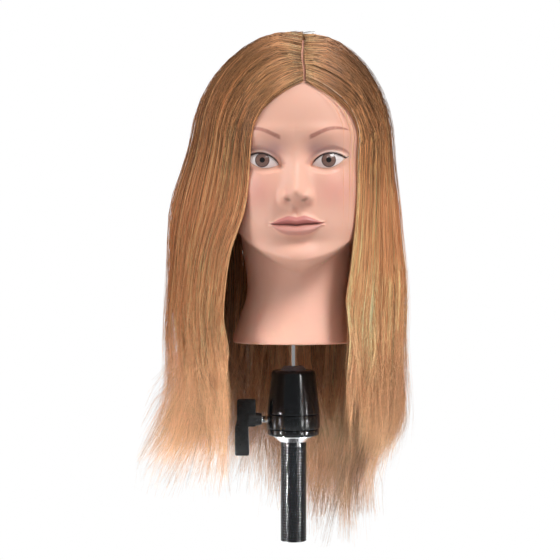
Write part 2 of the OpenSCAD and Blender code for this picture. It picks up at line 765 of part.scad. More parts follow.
module foam_core() {
    low = [for (a0 = head_columns)
        let(a = side_angle(a0)) inset(at(a, smooth_r(a, core_low), core_low), wall(core_low) + core_gap)];
    rows = concat([low], [for (i = [2 : len(back_rows) - 1]) inner_skin(back_rows[i], core_gap)],
        [for (i = [1 : len(scalp_rows) - 1]) scalp_ring(scalp_rows[i], face_wall + core_gap)]);
    top = inset(at(0, 0.001, head_h), face_wall + core_gap);
    color("#e8dcae")
    difference() {
        stack(rows, top);
        translate([0, 0, neck_z]) cylinder(h = socket_top - neck_z + set_gap, d = socket_d + 2 * set_gap);
        at_plate_screws() plate_screw(set_gap);
    }
}

module face_shell() {
    color("#f0b79d")
    ring_skin(concat([for (s = face_rows) outer_skin(s)],
        [for (i = [len(back_rows) - 1 : -1 : 0]) inner_skin(back_rows[i])]));
}

module scalp_cap() {
    n = len(head_columns);
    m = len(scalp_rows);
    out = [for (s = scalp_rows) scalp_ring(s, 0)];
    in = [for (s = scalp_rows) scalp_ring(s, face_wall)];
    tops = [at(0, 0.001, head_h), inset(at(0, 0.001, head_h), face_wall)];
    b = n * m;
    color("#e3a78c")
    polyhedron(concat(flat(out), flat(in), tops),
        concat([for (i = [0 : m - 2]) each band(i * n, (i + 1) * n, n, true)],
            [for (i = [0 : m - 2]) each band(b + (i + 1) * n, b + i * n, n, true)],
            [for (k = [0 : n - 1]) let(q = (k + 1) % n) each [[k, b + q, b + k], [k, q, b + q]]],
            [for (k = [0 : n - 1]) [2 * b, (m - 1) * n + (k + 1) % n, (m - 1) * n + k]],
            [for (k = [0 : n - 1]) [2 * b + 1, b + (m - 1) * n + k, b + (m - 1) * n + (k + 1) % n]]));
}

eye_cols = 12;
eye_rows = 6;
eye_bulge = 3.2;
eye_gap = 0.5;

// A domed eye that lies in its socket, pointed at both corners
module eye(side) {
    point = function(i, j, out)
        let(u = 2 * i / eye_cols - 1, v = 2 * j / eye_rows - 1, open = eye_open / 2 * (1 - 0.94 * u * u),
            h = eye_h + v * open, x = side * eye_x + u * eye_l / 2,
            a = asin(x / smooth_r(20 * side, eye_h)) + face_turn,
            rise = eye_gap + (out ? 0.8 + eye_bulge * (1 - u * u) * (1 - v * v) : 0))
        at(a, skin_r(a, h) + rise, h);
    color("#f4f1ee")
    slab([for (j = [0 : eye_rows]) [for (i = [0 : eye_cols]) point(i, j, true)]],
        [for (j = [0 : eye_rows]) [for (i = [0 : eye_cols]) point(i, j, false)]]);
}

// Hair

function hair_oval(a, h) =
    let(k = min(h, hair_dome_h) / hair_dome_h,
        d = h <= hair_dome_h ? 1 : max(0, 1 - ((h - hair_dome_h) / (hair_top - hair_dome_h)) ^ 2) ^ 0.5)
    d * oval(a, hair_right_w * curve(right_share, k), hair_left_w * curve(left_share, k),
        hair_front_w * curve(front_share, k), hair_back_w * curve(back_share, k));

// Room between hair and skin, more along the hairline where the hair's edge sweeps round the forehead
function hair_room(h) = hair_gap + hair_lift * bump(h - hairline_h + 14, 28);

// Radius that the hanging hair keeps clear: wide beside the clamp lever, closer below it
function hang(h) =
    h > 0 ? hang_r * (1 - ease(h / hang_h)) : hang_r - hang_in * ease((-h - hang_low) / (hair_l / 4));

// Inside of the hair before that room: on the skin above the jaw, widely round the ears, and clear of the
// holder below the neck
function hair_in(a, h) =
    max(skin_r(a, h), smooth_r(a, h) + ear(a, h, 1.8) + hair_gap, hang(h),
        (h < hair_dome_h ? hair_oval(a, h) - hair_t : 0));

// Angle from the middle of the face to the hair's front edge
function front_edge(a, h) = max(parting_a, curve(a > 0 ? right_edge : left_edge, h / hairline_h));

// Outside of the hair: thin at its front edge below the hairline, with a dip along the parting
function hair_out(a0, h) =
    let(a = side_angle(a0), low = hair_in(a, h) + hair_room(h) + hair_min,
        fade = 0.1 + front_fade * ease((hairline_h + hair_over - h) / 50),
        grown = ease((abs(a) - front_edge(a, h)) / fade),
        dip = abs(a) < 90 ? parting_depth * bump(a, 7) * ease((h - hairline_h) / 20) : 0)
    low + max(0, hair_oval(a, h) - low) * grown - dip;

// One row of a lock of hair: from angle a0 to a1 in steps, at row i counted up from the tips
function hair_row(i, steps, a0, a1, outside) =
    [for (k = [0 : steps])
        let(u = k / steps, guess = a0(hair_dome_h) + (a1(hair_dome_h) - a0(hair_dome_h)) * u,
            tip = -hair_l * curve(tip_line, side_angle(guess)), dome = max(0, i - hair_rows) / hair_dome_rows,
            top = outside ? hair_top : head_h,
            h = i <= hair_rows ? tip + (hair_dome_h - tip) * i / hair_rows
                : hair_dome_h + (top - hair_dome_h) * sin(dome * 89.4),
            a = a0(h) + (a1(h) - a0(h)) * u, q = min(h, head_h - 0.02))
        outside ? at(a, h > head_h - 4 ? hair_oval(a, h) : hair_out(a, h), h)
            : inset(at(a, hair_in(a, q), q), -hair_room(q))];

module lock_of_hair(steps, a0, a1) {
    rows = [0 : hair_rows + hair_dome_rows];
    color("#b57a48")
    slab([for (i = rows) hair_row(i, steps, a0, a1, true)],
        [for (i = rows) hair_row(i, steps, a0, a1, false)]);
}

module hair_left() {
    lock_of_hair(13, function(h) split_left, function(h) -front_edge(-1, h));
}

module hair_right() {
    lock_of_hair(13, function(h) front_edge(1, h), function(h) split_right);
}

module hair_back() {
    lock_of_hair(16, function(h) split_right, function(h) 360 + split_left);
}

post_tube();
post_end_plug();
post_top_plug();
post_bolt();
lock_collar();
base_cup();
clamp_ring();
housing_cone();
thread_insert();
wedge_plunger();
screw_tip();
clamp_screw();
clamp_lever();
lever_pin();
ball_bush();
swivel_ball();
ball_pin();
spigot_rod();
neck_socket();
neck_plate();
plate_screws();
foam_core();
face_shell();
scalp_cap();
eye(-1);  // eye_left
eye(1);  // eye_right
hair_left();
hair_right();
hair_back();
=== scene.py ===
import logging
import math
from dataclasses import dataclass, field
from enum import Enum

import bpy
import numpy as np
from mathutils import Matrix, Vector


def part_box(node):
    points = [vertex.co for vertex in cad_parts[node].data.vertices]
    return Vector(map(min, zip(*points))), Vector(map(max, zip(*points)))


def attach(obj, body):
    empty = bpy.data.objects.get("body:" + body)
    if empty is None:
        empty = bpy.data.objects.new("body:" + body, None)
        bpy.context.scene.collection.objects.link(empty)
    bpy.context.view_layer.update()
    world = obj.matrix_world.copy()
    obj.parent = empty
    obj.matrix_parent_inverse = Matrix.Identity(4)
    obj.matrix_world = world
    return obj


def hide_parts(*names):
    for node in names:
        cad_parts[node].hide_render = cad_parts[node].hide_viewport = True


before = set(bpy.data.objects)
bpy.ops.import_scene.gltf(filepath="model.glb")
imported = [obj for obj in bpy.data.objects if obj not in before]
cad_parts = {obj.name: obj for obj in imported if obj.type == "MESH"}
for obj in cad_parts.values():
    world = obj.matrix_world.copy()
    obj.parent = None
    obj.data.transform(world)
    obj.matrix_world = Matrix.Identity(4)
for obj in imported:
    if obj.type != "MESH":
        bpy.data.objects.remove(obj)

MM = 0.001
TURN = 2 * math.pi
Array = np.ndarray
Place = tuple[float, float, float]
log = logging.getLogger("training_head")


# Curves


def ease(t: Array) -> Array:
    """Eases from 0 to 1.

    Args:
        t: Place on the way, clipped to 0 and 1.

    Returns:
        The eased place.
    """
    u = np.clip(t, 0.0, 1.0)
    return u * u * (3 - 2 * u)


def bump(x: Array, w: float) -> Array:
    """A bump of height 1 that falls off over w.

    Args:
        x: Distance from the bump's middle.
        w: Distance at which it has fallen to about a third.

    Returns:
        The bump's height.
    """
    return np.exp(-((x / w) ** 2))


def lerp(a: Array, b: Array, t: Array) -> Array:
    """The value at share t of the way from a to b."""
    return a + (b - a) * t


def wave(x: Array, length: Array, phase: Array) -> Array:
    """A wave of height 1 along x."""
    return np.sin(TURN * x / length + phase)


@dataclass(frozen=True)
class Table:
    """A smooth curve through a row of points.

    Args:
        knots: Points (place, value), in order of place.
    """

    knots: tuple[tuple[float, float], ...]

    def __call__(self, x: Array) -> Array:
        """Reads the curve, which stays level beyond its ends.

        Args:
            x: Places to read.

        Returns:
            The values there.
        """
        k, v = np.array(self.knots, float).T
        index = np.arange(len(k))
        low, high = np.maximum(index - 1, 0), np.minimum(index + 1, len(k) - 1)
        slope = (v[high] - v[low]) / (k[high] - k[low])
        x = np.clip(np.asarray(x, float), k[0], k[-1])
        i = np.clip(np.searchsorted(k, x, side="right") - 1, 0, len(k) - 2)
        w = k[i + 1] - k[i]
        u = (x - k[i]) / w
        return (
            (2 * u**3 - 3 * u**2 + 1) * v[i]
            + (u**3 - 2 * u**2 + u) * w * slope[i]
            + (3 * u**2 - 2 * u**3) * v[i + 1]
            + (u**3 - u**2) * w * slope[i + 1]
        )


def oval(a: Array, right: Array, left: Array, front: Array, back: Array) -> Array:
    """Radius of an oval at an angle from the front.

    Args:
        a: Angle in degrees, positive to the right.
        right: Reach to the right.
        left: Reach to the left.
        front: Reach to the front.
        back: Reach to the back.

    Returns:
        The oval's radius there.
    """
    t = np.radians(a)
    s = np.abs(np.sin(t)) / np.where(np.sin(t) > 0, right, left)
    c = np.abs(np.cos(t)) / np.where(np.cos(t) > 0, front, back)
    return (s**2.3 + c**2.3) ** (-1 / 2.3)


def mesh_object(name: str, points: Array, faces: list[Array]) -> bpy.types.Object:
    """Makes a smooth-shaded mesh from points in millimetres.

    Args:
        name: The object's name.
        points: One row (x, y, z) per point.
        faces: Arrays of faces, each array with its own number of corners.

    Returns:
        The new object, at the origin.
    """
    mesh = bpy.data.meshes.new(name)
    mesh.vertices.add(len(points))
    mesh.vertices.foreach_set("co", (points * MM).astype(np.float32).ravel())
    loops = np.concatenate([f.ravel() for f in faces]).astype(np.int32)
    sizes = np.concatenate([np.full(len(f), f.shape[1]) for f in faces]).astype(np.int32)
    starts = np.concatenate([[0], np.cumsum(sizes)[:-1]]).astype(np.int32)
    mesh.loops.add(len(loops))
    mesh.loops.foreach_set("vertex_index", loops)
    mesh.polygons.add(len(sizes))
    mesh.polygons.foreach_set("loop_start", starts)
    mesh.polygons.foreach_set("use_smooth", np.ones(len(sizes), bool))
    mesh.update(calc_edges=True)
    mesh.validate()
    obj = bpy.data.objects.new(name, mesh)
    bpy.context.scene.collection.objects.link(obj)
    return obj


def paint(obj: bpy.types.Object, name: str, colours: Array) -> None:
    """Gives each point of a mesh a colour.

    Args:
        obj: The object.
        name: The attribute's name.
        colours: One row (r, g, b) per point.
    """
    full = np.ones((len(colours), 4), np.float32)
    full[:, :3] = colours
    layer = obj.data.color_attributes.new(name, "FLOAT_COLOR", "POINT")
    layer.data.foreach_set("color", full.ravel())


def grid_faces(rows: int, columns: int, closed: bool) -> Array:
    """Faces between the points of a grid, stored row after row.

    Args:
        rows: Number of rows.
        columns: Number of points in a row.
        closed: Whether a row runs round to its start.

    Returns:
        One row of four point numbers per face.
    """
    r = np.arange(rows - 1)[:, None] * columns
    k = np.arange(columns if closed else columns - 1)[None, :]
    n = (k + 1) % columns
    return np.stack([r + k, r + n, r + n + columns, r + k + columns], -1).reshape(-1, 4)


def tube(line: Array, radius: Array, sides: int) -> tuple[Array, list[Array]]:
    """A closed tube along a line.

    Args:
        line: Points of its middle, in order.
        radius: Radius at each point.
        sides: Number of its sides.

    Returns:
        Its points and its faces.
    """
    way = np.gradient(line, axis=0)
    way /= np.linalg.norm(way, axis=1, keepdims=True)
    side = np.cross(way, [0.0, 1.0, 0.0])
    side /= np.linalg.norm(side, axis=1, keepdims=True)
    up = np.cross(side, way)
    t = TURN * np.arange(sides) / sides
    ring = np.cos(t)[None, :, None] * side[:, None] + np.sin(t)[None, :, None] * up[:, None]
    points = line[:, None] + radius[:, None, None] * ring
    ends = np.stack([np.arange(sides), (len(line) - 1) * sides + np.arange(sides)[::-1]])
    return points.reshape(-1, 3), [grid_faces(len(line), sides, True)[:, ::-1], ends]


# Shape of the head


@dataclass(frozen=True)
class HeadForm:
    """The smooth head. Heights are in millimetres above the neck's lower edge.

    Args:
        neck_z: Height of the neck's lower edge above the post's foot.
    """

    neck_z: float
    head_h: float = 291.0
    head_w: float = 146.0
    face_out: float = 88.0
    head_back: float = 97.0
    dome_h: float = 205.0
    dome_power: float = 2.2
    chin_h: float = 71.0
    jaw_rise: float = 44.0
    jaw_soft: float = 13.0
    throat_h: float = 45.0
    hairline_h: float = 240.0
    seam_drop: float = 125.0
    shift: float = 4.5
    turn: float = -1.6
    wall: float = 4.0
    width: Table = Table((
        (45, 0.62), (75, 0.72), (100, 0.83), (125, 0.905), (150, 0.955), (175, 0.985), (205, 1),
    ))
    front: Table = Table((
        (45, 0.88), (73, 0.948), (94, 0.918), (110, 0.962), (128, 0.948), (148.5, 0.933), (169, 0.928),
        (194, 0.997), (205, 1),
    ))
    back: Table = Table(((45, 0.5), (75, 0.56), (110, 0.66), (140, 0.82), (170, 0.95), (205, 1)))
    neck: Table = Table(((0, 58.5), (8, 57.5), (22, 53.48), (45, 48.5), (65, 49.5), (90, 53.5), (125, 57.5)))

    def skull_r(self, a: Array, h: Array) -> Array:
        """Radius of the skull.

        Args:
            a: Angle from the front in degrees.
            h: Height.

        Returns:
            The radius in millimetres.
        """
        k = np.minimum(h, self.dome_h)
        w = self.width(k) * self.head_w / 2
        up = np.clip((h - self.dome_h) / (self.head_h - self.dome_h), 0, 1)
        dome = np.sqrt(np.maximum(0, 1 - up**self.dome_power))
        return oval(a, w, w, self.front(k) * self.face_out, self.back(k) * self.head_back) * dome

    def smooth_r(self, a: Array, h: Array) -> Array:
        """Radius of neck and skull together, before the features.

        Args:
            a: Angle from the front in degrees.
            h: Height.

        Returns:
            The radius in millimetres.
        """
        away = 1 - np.cos(np.radians(a))
        jaw = self.chin_h + self.jaw_rise * away**0.62
        soft = self.jaw_soft * (1 + 1.15 * away)
        k = ease((h - jaw) / soft + 0.5)
        return lerp(self.neck(h), self.skull_r(a, h), k)

    def skin_r(self, a: Array, h: Array) -> Array:
        """Radius of the smooth head with its ears."""
        ear = 8 * bump(np.abs(a) - 97, 9) * bump(h - 161, 22)
        return self.smooth_r(a, h) + ear

    def centre_x(self, h: Array) -> Array:
        """Sideways place of the head's middle at a height."""
        return self.shift * ease(h / self.chin_h)

    def at(self, a: Array, r: Array, h: Array) -> Array:
        """A point of the object.

        Args:
            a: Angle from the front in degrees.
            r: Radius.
            h: Height.

        Returns:
            Points (x, y, z) in millimetres.
        """
        t = np.radians(a)
        return np.stack([self.centre_x(h) + r * np.sin(t), -r * np.cos(t), self.neck_z + h + 0 * r], -1)

    def seam_h(self, a: Array) -> Array:
        """Height of the seam between face and scalp at an angle."""
        return self.hairline_h - self.seam_drop * ease((np.abs(a) - 35) / 115)


@dataclass(frozen=True)
class EyeForm:
    """One eye and its lids, in the face's own plane: x from the middle of the face, h above the neck's edge.

    Args:
        x: Distance of the eye's middle from the middle of the face.
        h: Height of the eye's middle.
    """

    x: float = 30.7
    h: float = 168.8
    inner: tuple[float, float] = (15.0, 164.6)
    outer: tuple[float, float] = (45.4, 171.2)
    rise: float = 7.4
    fall: float = 5.9
    depth: float = 61.2
    ball: tuple[float, float, float] = (21.0, 15.0, 16.0)
    slant: float = 0.17
    lid: float = 1.3
    iris_x: float = 30.2
    iris_h: float = 169.0
    iris_out: float = 76.3
    cornea: float = 1.3
    cornea_w: float = 6.8

    def share(self, x: Array) -> Array:
        """Share of the way from the inner to the outer corner."""
        return np.clip((x - self.inner[0]) / (self.outer[0] - self.inner[0]), 0, 1)

    def upper(self, x: Array) -> Array:
        """Height of the upper lid's edge at x."""
        t = self.share(x)
        return lerp(self.inner[1], self.outer[1], t) + self.rise * np.sin(np.pi * t**0.9) ** 0.75

    def lower(self, x: Array) -> Array:
        """Height of the lower lid's edge at x."""
        t = self.share(x)
        return lerp(self.inner[1], self.outer[1], t) - self.fall * np.sin(np.pi * t**1.1) ** 0.85

    def front(self, x: Array, h: Array) -> Array:
        """How far the eyeball stands out at a point.

        Args:
            x: Distance from the middle of the face.
            h: Height.

        Returns:
            Distance from the head's axis, forwards.
        """
        dx, dh = x - self.x, h - self.h
        w, d, t = self.ball
        dome = np.sqrt(np.maximum(0.25, 1 - (dx / w) ** 2 - (dh / t) ** 2))
        return self.depth + d * dome - self.slant * dx

    def outline(self, n: int = 48) -> Array:
        """Points round the opening.

        Args:
            n: Steps along each lid.

        Returns:
            Closed row of points (x, h).
        """
        t = 0.5 - 0.5 * np.cos(np.linspace(0, np.pi, n))
        x = lerp(self.inner[0], self.outer[0], t)
        return np.concatenate([np.stack([x, self.upper(x)], -1), np.stack([x, self.lower(x)], -1)[::-1]])

    def distance(self, x: Array, h: Array) -> Array:
        """Distance to the edge of the opening, negative inside it.

        Args:
            x: Distances from the middle of the face.
            h: Heights.

        Returns:
            The signed distances.
        """
        p = np.stack([x, h], -1)[:, None, :]
        a = self.outline()
        b = np.roll(a, -1, 0)
        d = b - a
        t = np.clip(((p - a) * d).sum(-1) / np.maximum((d * d).sum(-1), 1e-9), 0, 1)
        near = np.linalg.norm(p - (a + t[..., None] * d), axis=-1).min(1)
        inside = (x > self.inner[0]) & (x < self.outer[0]) & (h < self.upper(x)) & (h > self.lower(x))
        return np.where(inside, -near, near)


@dataclass(frozen=True)
class Swell:
    """A soft patch of the face, alike at both sides.

    Args:
        height: How strong it is, negative for a hollow.
        x: Distance of its middle from the middle of the face.
        w: Its width.
        h: Height of its middle.
        t: Its length up and down.
    """

    height: float
    x: float
    w: float
    h: float
    t: float

    def at(self, x: Array, h: Array) -> Array:
        """Its strength at a distance from the middle of the face and a height."""
        return self.height * bump(np.abs(x) - self.x, self.w) * bump(h - self.h, self.t)


@dataclass(frozen=True)
class FaceForm:
    """The features of the face: what they add to the smooth head, and how they are painted."""

    eye: EyeForm = EyeForm()
    nose_out: Table = Table((
        (112, 0.0), (118, 0.7), (122, 1.7), (125, 3.2), (128, 6.0), (131, 9.8), (134, 13.4), (137, 16.0),
        (140, 17.0), (143, 16.4), (147, 14.4), (152, 11.8), (160, 8.2), (168, 5.0), (176, 2.6), (182, 1.4),
        (190, 0.5), (196, 0.0),
    ))
    nose_w: Table = Table((
        (118, 9), (128, 10), (134, 10.2), (140, 10.0), (146, 9.2), (154, 8.6), (164, 8.2), (174, 8.6),
        (184, 10), (196, 12),
    ))
    lean: float = 0.022
    lean_h: float = 110.0
    mouth_tilt: float = 0.018
    mouth_h: float = 110.0
    mouth_half: float = 24.2
    lip_up_out: float = 4.4
    lip_low_out: float = 5.4
    lip_top: Table = Table(((0, 116.5), (4, 117.4), (7.7, 117.9), (13, 116.2), (19, 113.7), (24.2, 111.2)))
    lip_low: Table = Table(((0, 100.1), (8, 100.6), (14, 102.6), (20, 106.6), (24.2, 111.2)))
    lip_up_form: Table = Table((
        (0, -0.32), (0.16, 0.4), (0.42, 1.0), (0.75, 0.78), (1.0, 0.42), (1.4, 0.12), (2.0, 0.0),
    ))
    lip_low_form: Table = Table((
        (0, -0.32), (0.16, 0.34), (0.45, 0.82), (0.7, 1.0), (1.0, 0.46), (1.35, 0.08), (1.9, 0.0),
    ))
    brow_h: Table = Table((
        (12.9, 188.5), (18, 190.8), (24, 193.7), (30, 196.1), (34.7, 197.2), (42, 197.6), (49.6, 196.6),
    ))
    brow_t: Table = Table(((12.9, 2.4), (22, 2.3), (34, 1.9), (44, 1.2), (49.6, 0.6)))
    swells: tuple[Swell, ...] = (
        Swell(-0.9, 17.2, 2.4, 135, 6),  # crease beside a wing of the nose
        Swell(-2.2, 7.4, 2.6, 131.6, 1.9),  # nostril
        Swell(2.0, 0, 6.0, 138, 5.5),  # tip of the nose
        Swell(-1.1, 8.0, 2.2, 137.5, 4.5),  # dent beside the tip
        Swell(0.5, 4.2, 1.9, 122, 4.5),  # ridges over the upper lip
        Swell(-0.8, 0, 2.3, 122, 4.5),  # groove over the upper lip
        Swell(3.6, 0, 16, 83, 9),  # chin
        Swell(-2.0, 0, 18, 95.5, 4.5),  # dip under the lower lip
        Swell(-4.6, 23, 12, 172.5, 9),  # eye socket
        Swell(-2.4, 14.5, 5, 169, 9),  # inner corner of the socket
        Swell(2.0, 27, 20, 193, 8),  # brow
        Swell(2.6, 38, 16, 145, 17),  # cheekbone
        Swell(-1.2, 36, 12, 112, 14),  # hollow of the cheek
    )
    shadows: tuple[Swell, ...] = (
        Swell(0.6, 18, 8, 178.5, 6),  # shadow at the inner corner
        Swell(0.3, 32, 15, 181, 6),  # shadow over the lid
    )
    blush: Swell = Swell(1.0, 36, 17, 141, 15)

    def mouth_line(self, x: Array) -> Array:
        """Height of the line between the lips."""
        ax = np.abs(x)
        bow = 1.2 * np.minimum(ax / self.mouth_half, 1.2) ** 2 - 0.5 * bump(x, 4) + 0.3 * bump(ax - 9, 5)
        return self.mouth_h + self.mouth_tilt * x + bow

    def lips(self, x: Array, h: Array) -> Array:
        """How far the lips stand out.

        Args:
            x: Distance from the middle of the face.
            h: Height.

        Returns:
            Height of the relief in millimetres.
        """
        ax = np.abs(x)
        m = self.mouth_line(x)
        full = np.maximum(0, 1 - (ax / 26.0) ** 2) ** 0.6
        k = h - self.mouth_tilt * x
        flat = m - self.mouth_tilt * x
        up = (k - flat) / np.maximum(self.lip_top(ax) - flat, 2.0)
        low = (flat - k) / np.maximum(flat - self.lip_low(ax), 2.5)
        upper, lower = self.lip_up_out * self.lip_up_form(up), self.lip_low_out * self.lip_low_form(low)
        return np.where(h >= m, upper, lower) * full - 0.6 * bump(ax - 25.5, 3) * bump(h - 111, 3)

    def relief(self, x: Array, h: Array) -> Array:
        """What the features add to the smooth head, apart from eyes and lids.

        Args:
            x: Distance from the middle of the face, positive to the right.
            h: Height.

        Returns:
            Height of the relief in millimetres.
        """
        ax = np.abs(x)
        nose = self.nose_out(h) * np.exp(-((ax / self.nose_w(h)) ** 2))
        wings = 6.8 * np.exp(-((((ax - 11.4) / 4.7) ** 2 + ((h - 134.6) / 5.2) ** 2) ** 1.2))
        features = nose + wings + sum(swell.at(x, h) for swell in self.swells)
        return features + self.lips(x, h)

    def lids(self, x: Array, h: Array, out: Array) -> tuple[Array, Array]:
        """Lays the eyelids over the relief and sinks the openings.

        Args:
            x: Distance from the middle of the face.
            h: Height.
            out: How far the skin stands out there so far, from the head's axis.

        Returns:
            The new distance, and the distance to the nearer eye's opening.
        """
        eye = self.eye
        ax = np.abs(x)
        away = np.full(len(x), 99.0)
        near = (ax > 4) & (ax < 58) & (h > 148) & (h < 194)
        away[near] = eye.distance(ax[near], h[near])
        ball = eye.front(ax, h)
        above = h > lerp(eye.inner[1], eye.outer[1], eye.share(ax))
        reach = np.where(above, 7.0, 6.0)
        lid = ball + np.where(above, eye.lid, eye.lid - 0.4)
        out = lerp(out, lid, 1 - ease(away / reach))
        fold = bump(away - 5.0, 1.2) * above * ease((ax - 12) / 8) * ease((54 - ax) / 8)
        out = out - 0.8 * fold
        inside = ease((-away - 0.05) / 0.75)
        return lerp(out, ball - 1.7, inside), away

    def paints(self, x: Array, h: Array, away: Array) -> tuple[Array, Array, Array]:
        """Where the face is painted.

        Args:
            x: Distance from the middle of the face.
            h: Height.
            away: Distance to the nearer eye's opening.

        Returns:
            Rows (lips, brows, dark), rows (eye shadow, blush, painted lid highlight) and rows of gloss, from
            0 to 1.
        """
        ax = np.abs(x)
        k = h - self.mouth_tilt * x
        edge = np.minimum(self.lip_top(ax) - k, k - self.lip_low(ax))
        upper = ease((h - self.mouth_line(x)) / 1.5 + 0.5)
        # the lower lip takes less of the lip colour and looks lighter, partly painted light for its side
        # that faces down
        lips = ease((edge + 0.5) / 1.3) * (ax < 24.6) * lerp(0.66, 1.0, upper)
        line = np.abs(h - self.brow_h(ax)) / self.brow_t(ax)
        brow = (1 - ease((line - 0.45) / 0.75)) * ease((ax - 11.6) / 3.5) * ease((51.5 - ax) / 5)
        # painted shade in the nostrils
        nostril = np.exp(-((((ax - 7.6) / 2.9) ** 2 + ((h - 132.2 - 0.25 * (ax - 7.6)) / 1.35) ** 2) ** 1.5))
        # painted shade along the crease between the lips
        mouth = bump(h - self.mouth_line(x), 0.6) * ease((25.2 - ax) / 3)
        eye = self.eye
        above = h > lerp(eye.inner[1], eye.outer[1], eye.share(ax))
        lash = ease((1.5 - np.abs(away)) / 0.9) * above * ease((ax - 13) / 5)
        under = 0.35 * ease((1.1 - np.abs(away)) / 0.8) * (~above) * ease((ax - 16) / 6)
        # dark: painted lash lines, plus painted shade in the nostrils and between the lips
        dark = np.maximum.reduce([0.42 * nostril, 0.5 * mouth, np.maximum(lash, under) * (away < 8)])
        shadow = np.clip(
            sum(swell.at(x, h) for swell in self.shadows) + 0.25 * bump(away - 4.6, 1.6) * above, 0, 1,
        )
        blush = self.blush.at(x, h)
        # pale: a painted highlight along the upper lid, just above the lash line
        pale = ease((away - 1.0) / 0.7) * ease((3.0 - away) / 1.2) * above * ease((ax - 17) / 8)
        gloss = ease(edge / 1.5) * lerp(0.55, 0.1, upper) * ease((24 - ax) / 6)
        rows = (lips, brow, dark), (shadow, blush, pale), (gloss, gloss, gloss)
        return tuple(np.stack(row, -1) for row in rows)


# Finishes


def srgb(r: float, g: float, b: float) -> tuple[float, float, float, float]:
    """A linear colour from 8-bit screen values.

    Args:
        r: Red, 0 to 255.
        g: Green, 0 to 255.
        b: Blue, 0 to 255.

    Returns:
        The colour as linear red, green, blue and 1.
    """
    def one(v: float) -> float:
        """One channel."""
        c = v / 255
        return c / 12.92 if c <= 0.04045 else ((c + 0.055) / 1.055) ** 2.4

    return one(r), one(g), one(b), 1.0


class Shader:
    """The node tree of one material.

    Args:
        name: The material's name.
    """

    def __init__(self, name: str) -> None:
        self.material = bpy.data.materials.new(name)
        self.material.use_nodes = True
        self.tree = self.material.node_tree
        self.tree.nodes.clear()
        self.output = self.add("ShaderNodeOutputMaterial")
        self.surface = self.add("ShaderNodeBsdfPrincipled")
        self.link(self.surface.outputs[0], self.output.inputs["Surface"])

    def add(self, kind: str, **values: object) -> bpy.types.Node:
        """Adds a node.

        Args:
            kind: The node's type.
            **values: Its settings, and its inputs by name with _ for a space.

        Returns:
            The node.
        """
        node = self.tree.nodes.new(kind)
        for key, value in values.items():
            if hasattr(node, key):
                setattr(node, key, value)
            else:
                node.inputs[key.replace("_", " ")].default_value = value
        return node

    def link(self, start: bpy.types.NodeSocket, end: bpy.types.NodeSocket) -> None:
        """Links two sockets."""
        self.tree.links.new(start, end)

    def set(self, **values: object) -> None:
        """Sets inputs of the surface by name, with _ for a space."""
        for key, value in values.items():
            self.surface.inputs[key.replace("_", " ")].default_value = value

    def mix(self, share: bpy.types.NodeSocket, a: object, b: object) -> bpy.types.NodeSocket:
        """Mixes two colours.

        Args:
            share: How much of b there is.
            a: A colour or a socket.
            b: A colour or a socket.

        Returns:
            The mixed colour's socket.
        """
        node = self.add("ShaderNodeMix", data_type="RGBA")
        self.link(share, node.inputs[0])
        for value, socket in ((a, node.inputs[6]), (b, node.inputs[7])):
            if isinstance(value, bpy.types.NodeSocket):
                self.link(value, socket)
            else:
                socket.default_value = value
        return node.outputs[2]

    def maths(self, kind: str, a: object, b: object = 0.0) -> bpy.types.NodeSocket:
        """Adds a calculation.

        Args:
            kind: The operation.
            a: A number or a socket.
            b: A number or a socket.

        Returns:
            The result's socket.
        """
        node = self.add("ShaderNodeMath", operation=kind)
        for value, socket in zip((a, b), node.inputs):
            if isinstance(value, bpy.types.NodeSocket):
                self.link(value, socket)
            else:
                socket.default_value = value
        return node.outputs[0]

    def grain(self, scale: float, detail: float = 3.0) -> bpy.types.Node:
        """Noise in the object's own coordinates, through the shared grain group.

        Args:
            scale: How fine the noise is, per metre.
            detail: How many finer noises are in it.

        Returns:
            The group node, with outputs Value and Height.
        """
        node = self.add("ShaderNodeGroup", node_tree=grain_group())
        node.inputs["Scale"].default_value = scale
        node.inputs["Detail"].default_value = detail
        return node

    def bump_from(self, height: bpy.types.NodeSocket, strength: float, distance: float) -> None:
        """Raises the surface by a height.

        Args:
            height: The height's socket.
            strength: Strength of the effect.
            distance: Height in metres at which the value is 1.
        """
        node = self.add("ShaderNodeBump", Strength=strength, Distance=distance)
        self.link(height, node.inputs["Height"])
        self.link(node.outputs[0], self.surface.inputs["Normal"])


def grain_group() -> bpy.types.NodeTree:
    """The node group that all finishes take their fine unevenness from.

    Returns:
        The group, made at the first call.
    """
    group = bpy.data.node_groups.get("grain")
    if group:
        return group
    group = bpy.data.node_groups.new("grain", "ShaderNodeTree")
    for name, value in (("Scale", 100.0), ("Detail", 3.0)):
        group.interface.new_socket(name, in_out="INPUT", socket_type="NodeSocketFloat").default_value = value
    for name in ("Value", "Height"):
        group.interface.new_socket(name, in_out="OUTPUT", socket_type="NodeSocketFloat")
    inside, outside = group.nodes.new("NodeGroupInput"), group.nodes.new("NodeGroupOutput")
    place = group.nodes.new("ShaderNodeTexCoord")
    coarse, fine = group.nodes.new("ShaderNodeTexNoise"), group.nodes.new("ShaderNodeTexNoise")
    more = group.nodes.new("ShaderNodeMath")
    more.operation, more.inputs[1].default_value = "MULTIPLY", 6.0
    link = group.links.new
    link(place.outputs["Object"], coarse.inputs["Vector"])
    link(place.outputs["Object"], fine.inputs["Vector"])
    link(inside.outputs["Scale"], coarse.inputs["Scale"])
    link(inside.outputs["Scale"], more.inputs[0])
    link(more.outputs[0], fine.inputs["Scale"])
    link(inside.outputs["Detail"], coarse.inputs["Detail"])
    link(inside.outputs["Detail"], fine.inputs["Detail"])
    link(coarse.outputs[0], outside.inputs["Value"])
    link(fine.outputs[0], outside.inputs["Height"])
    return group


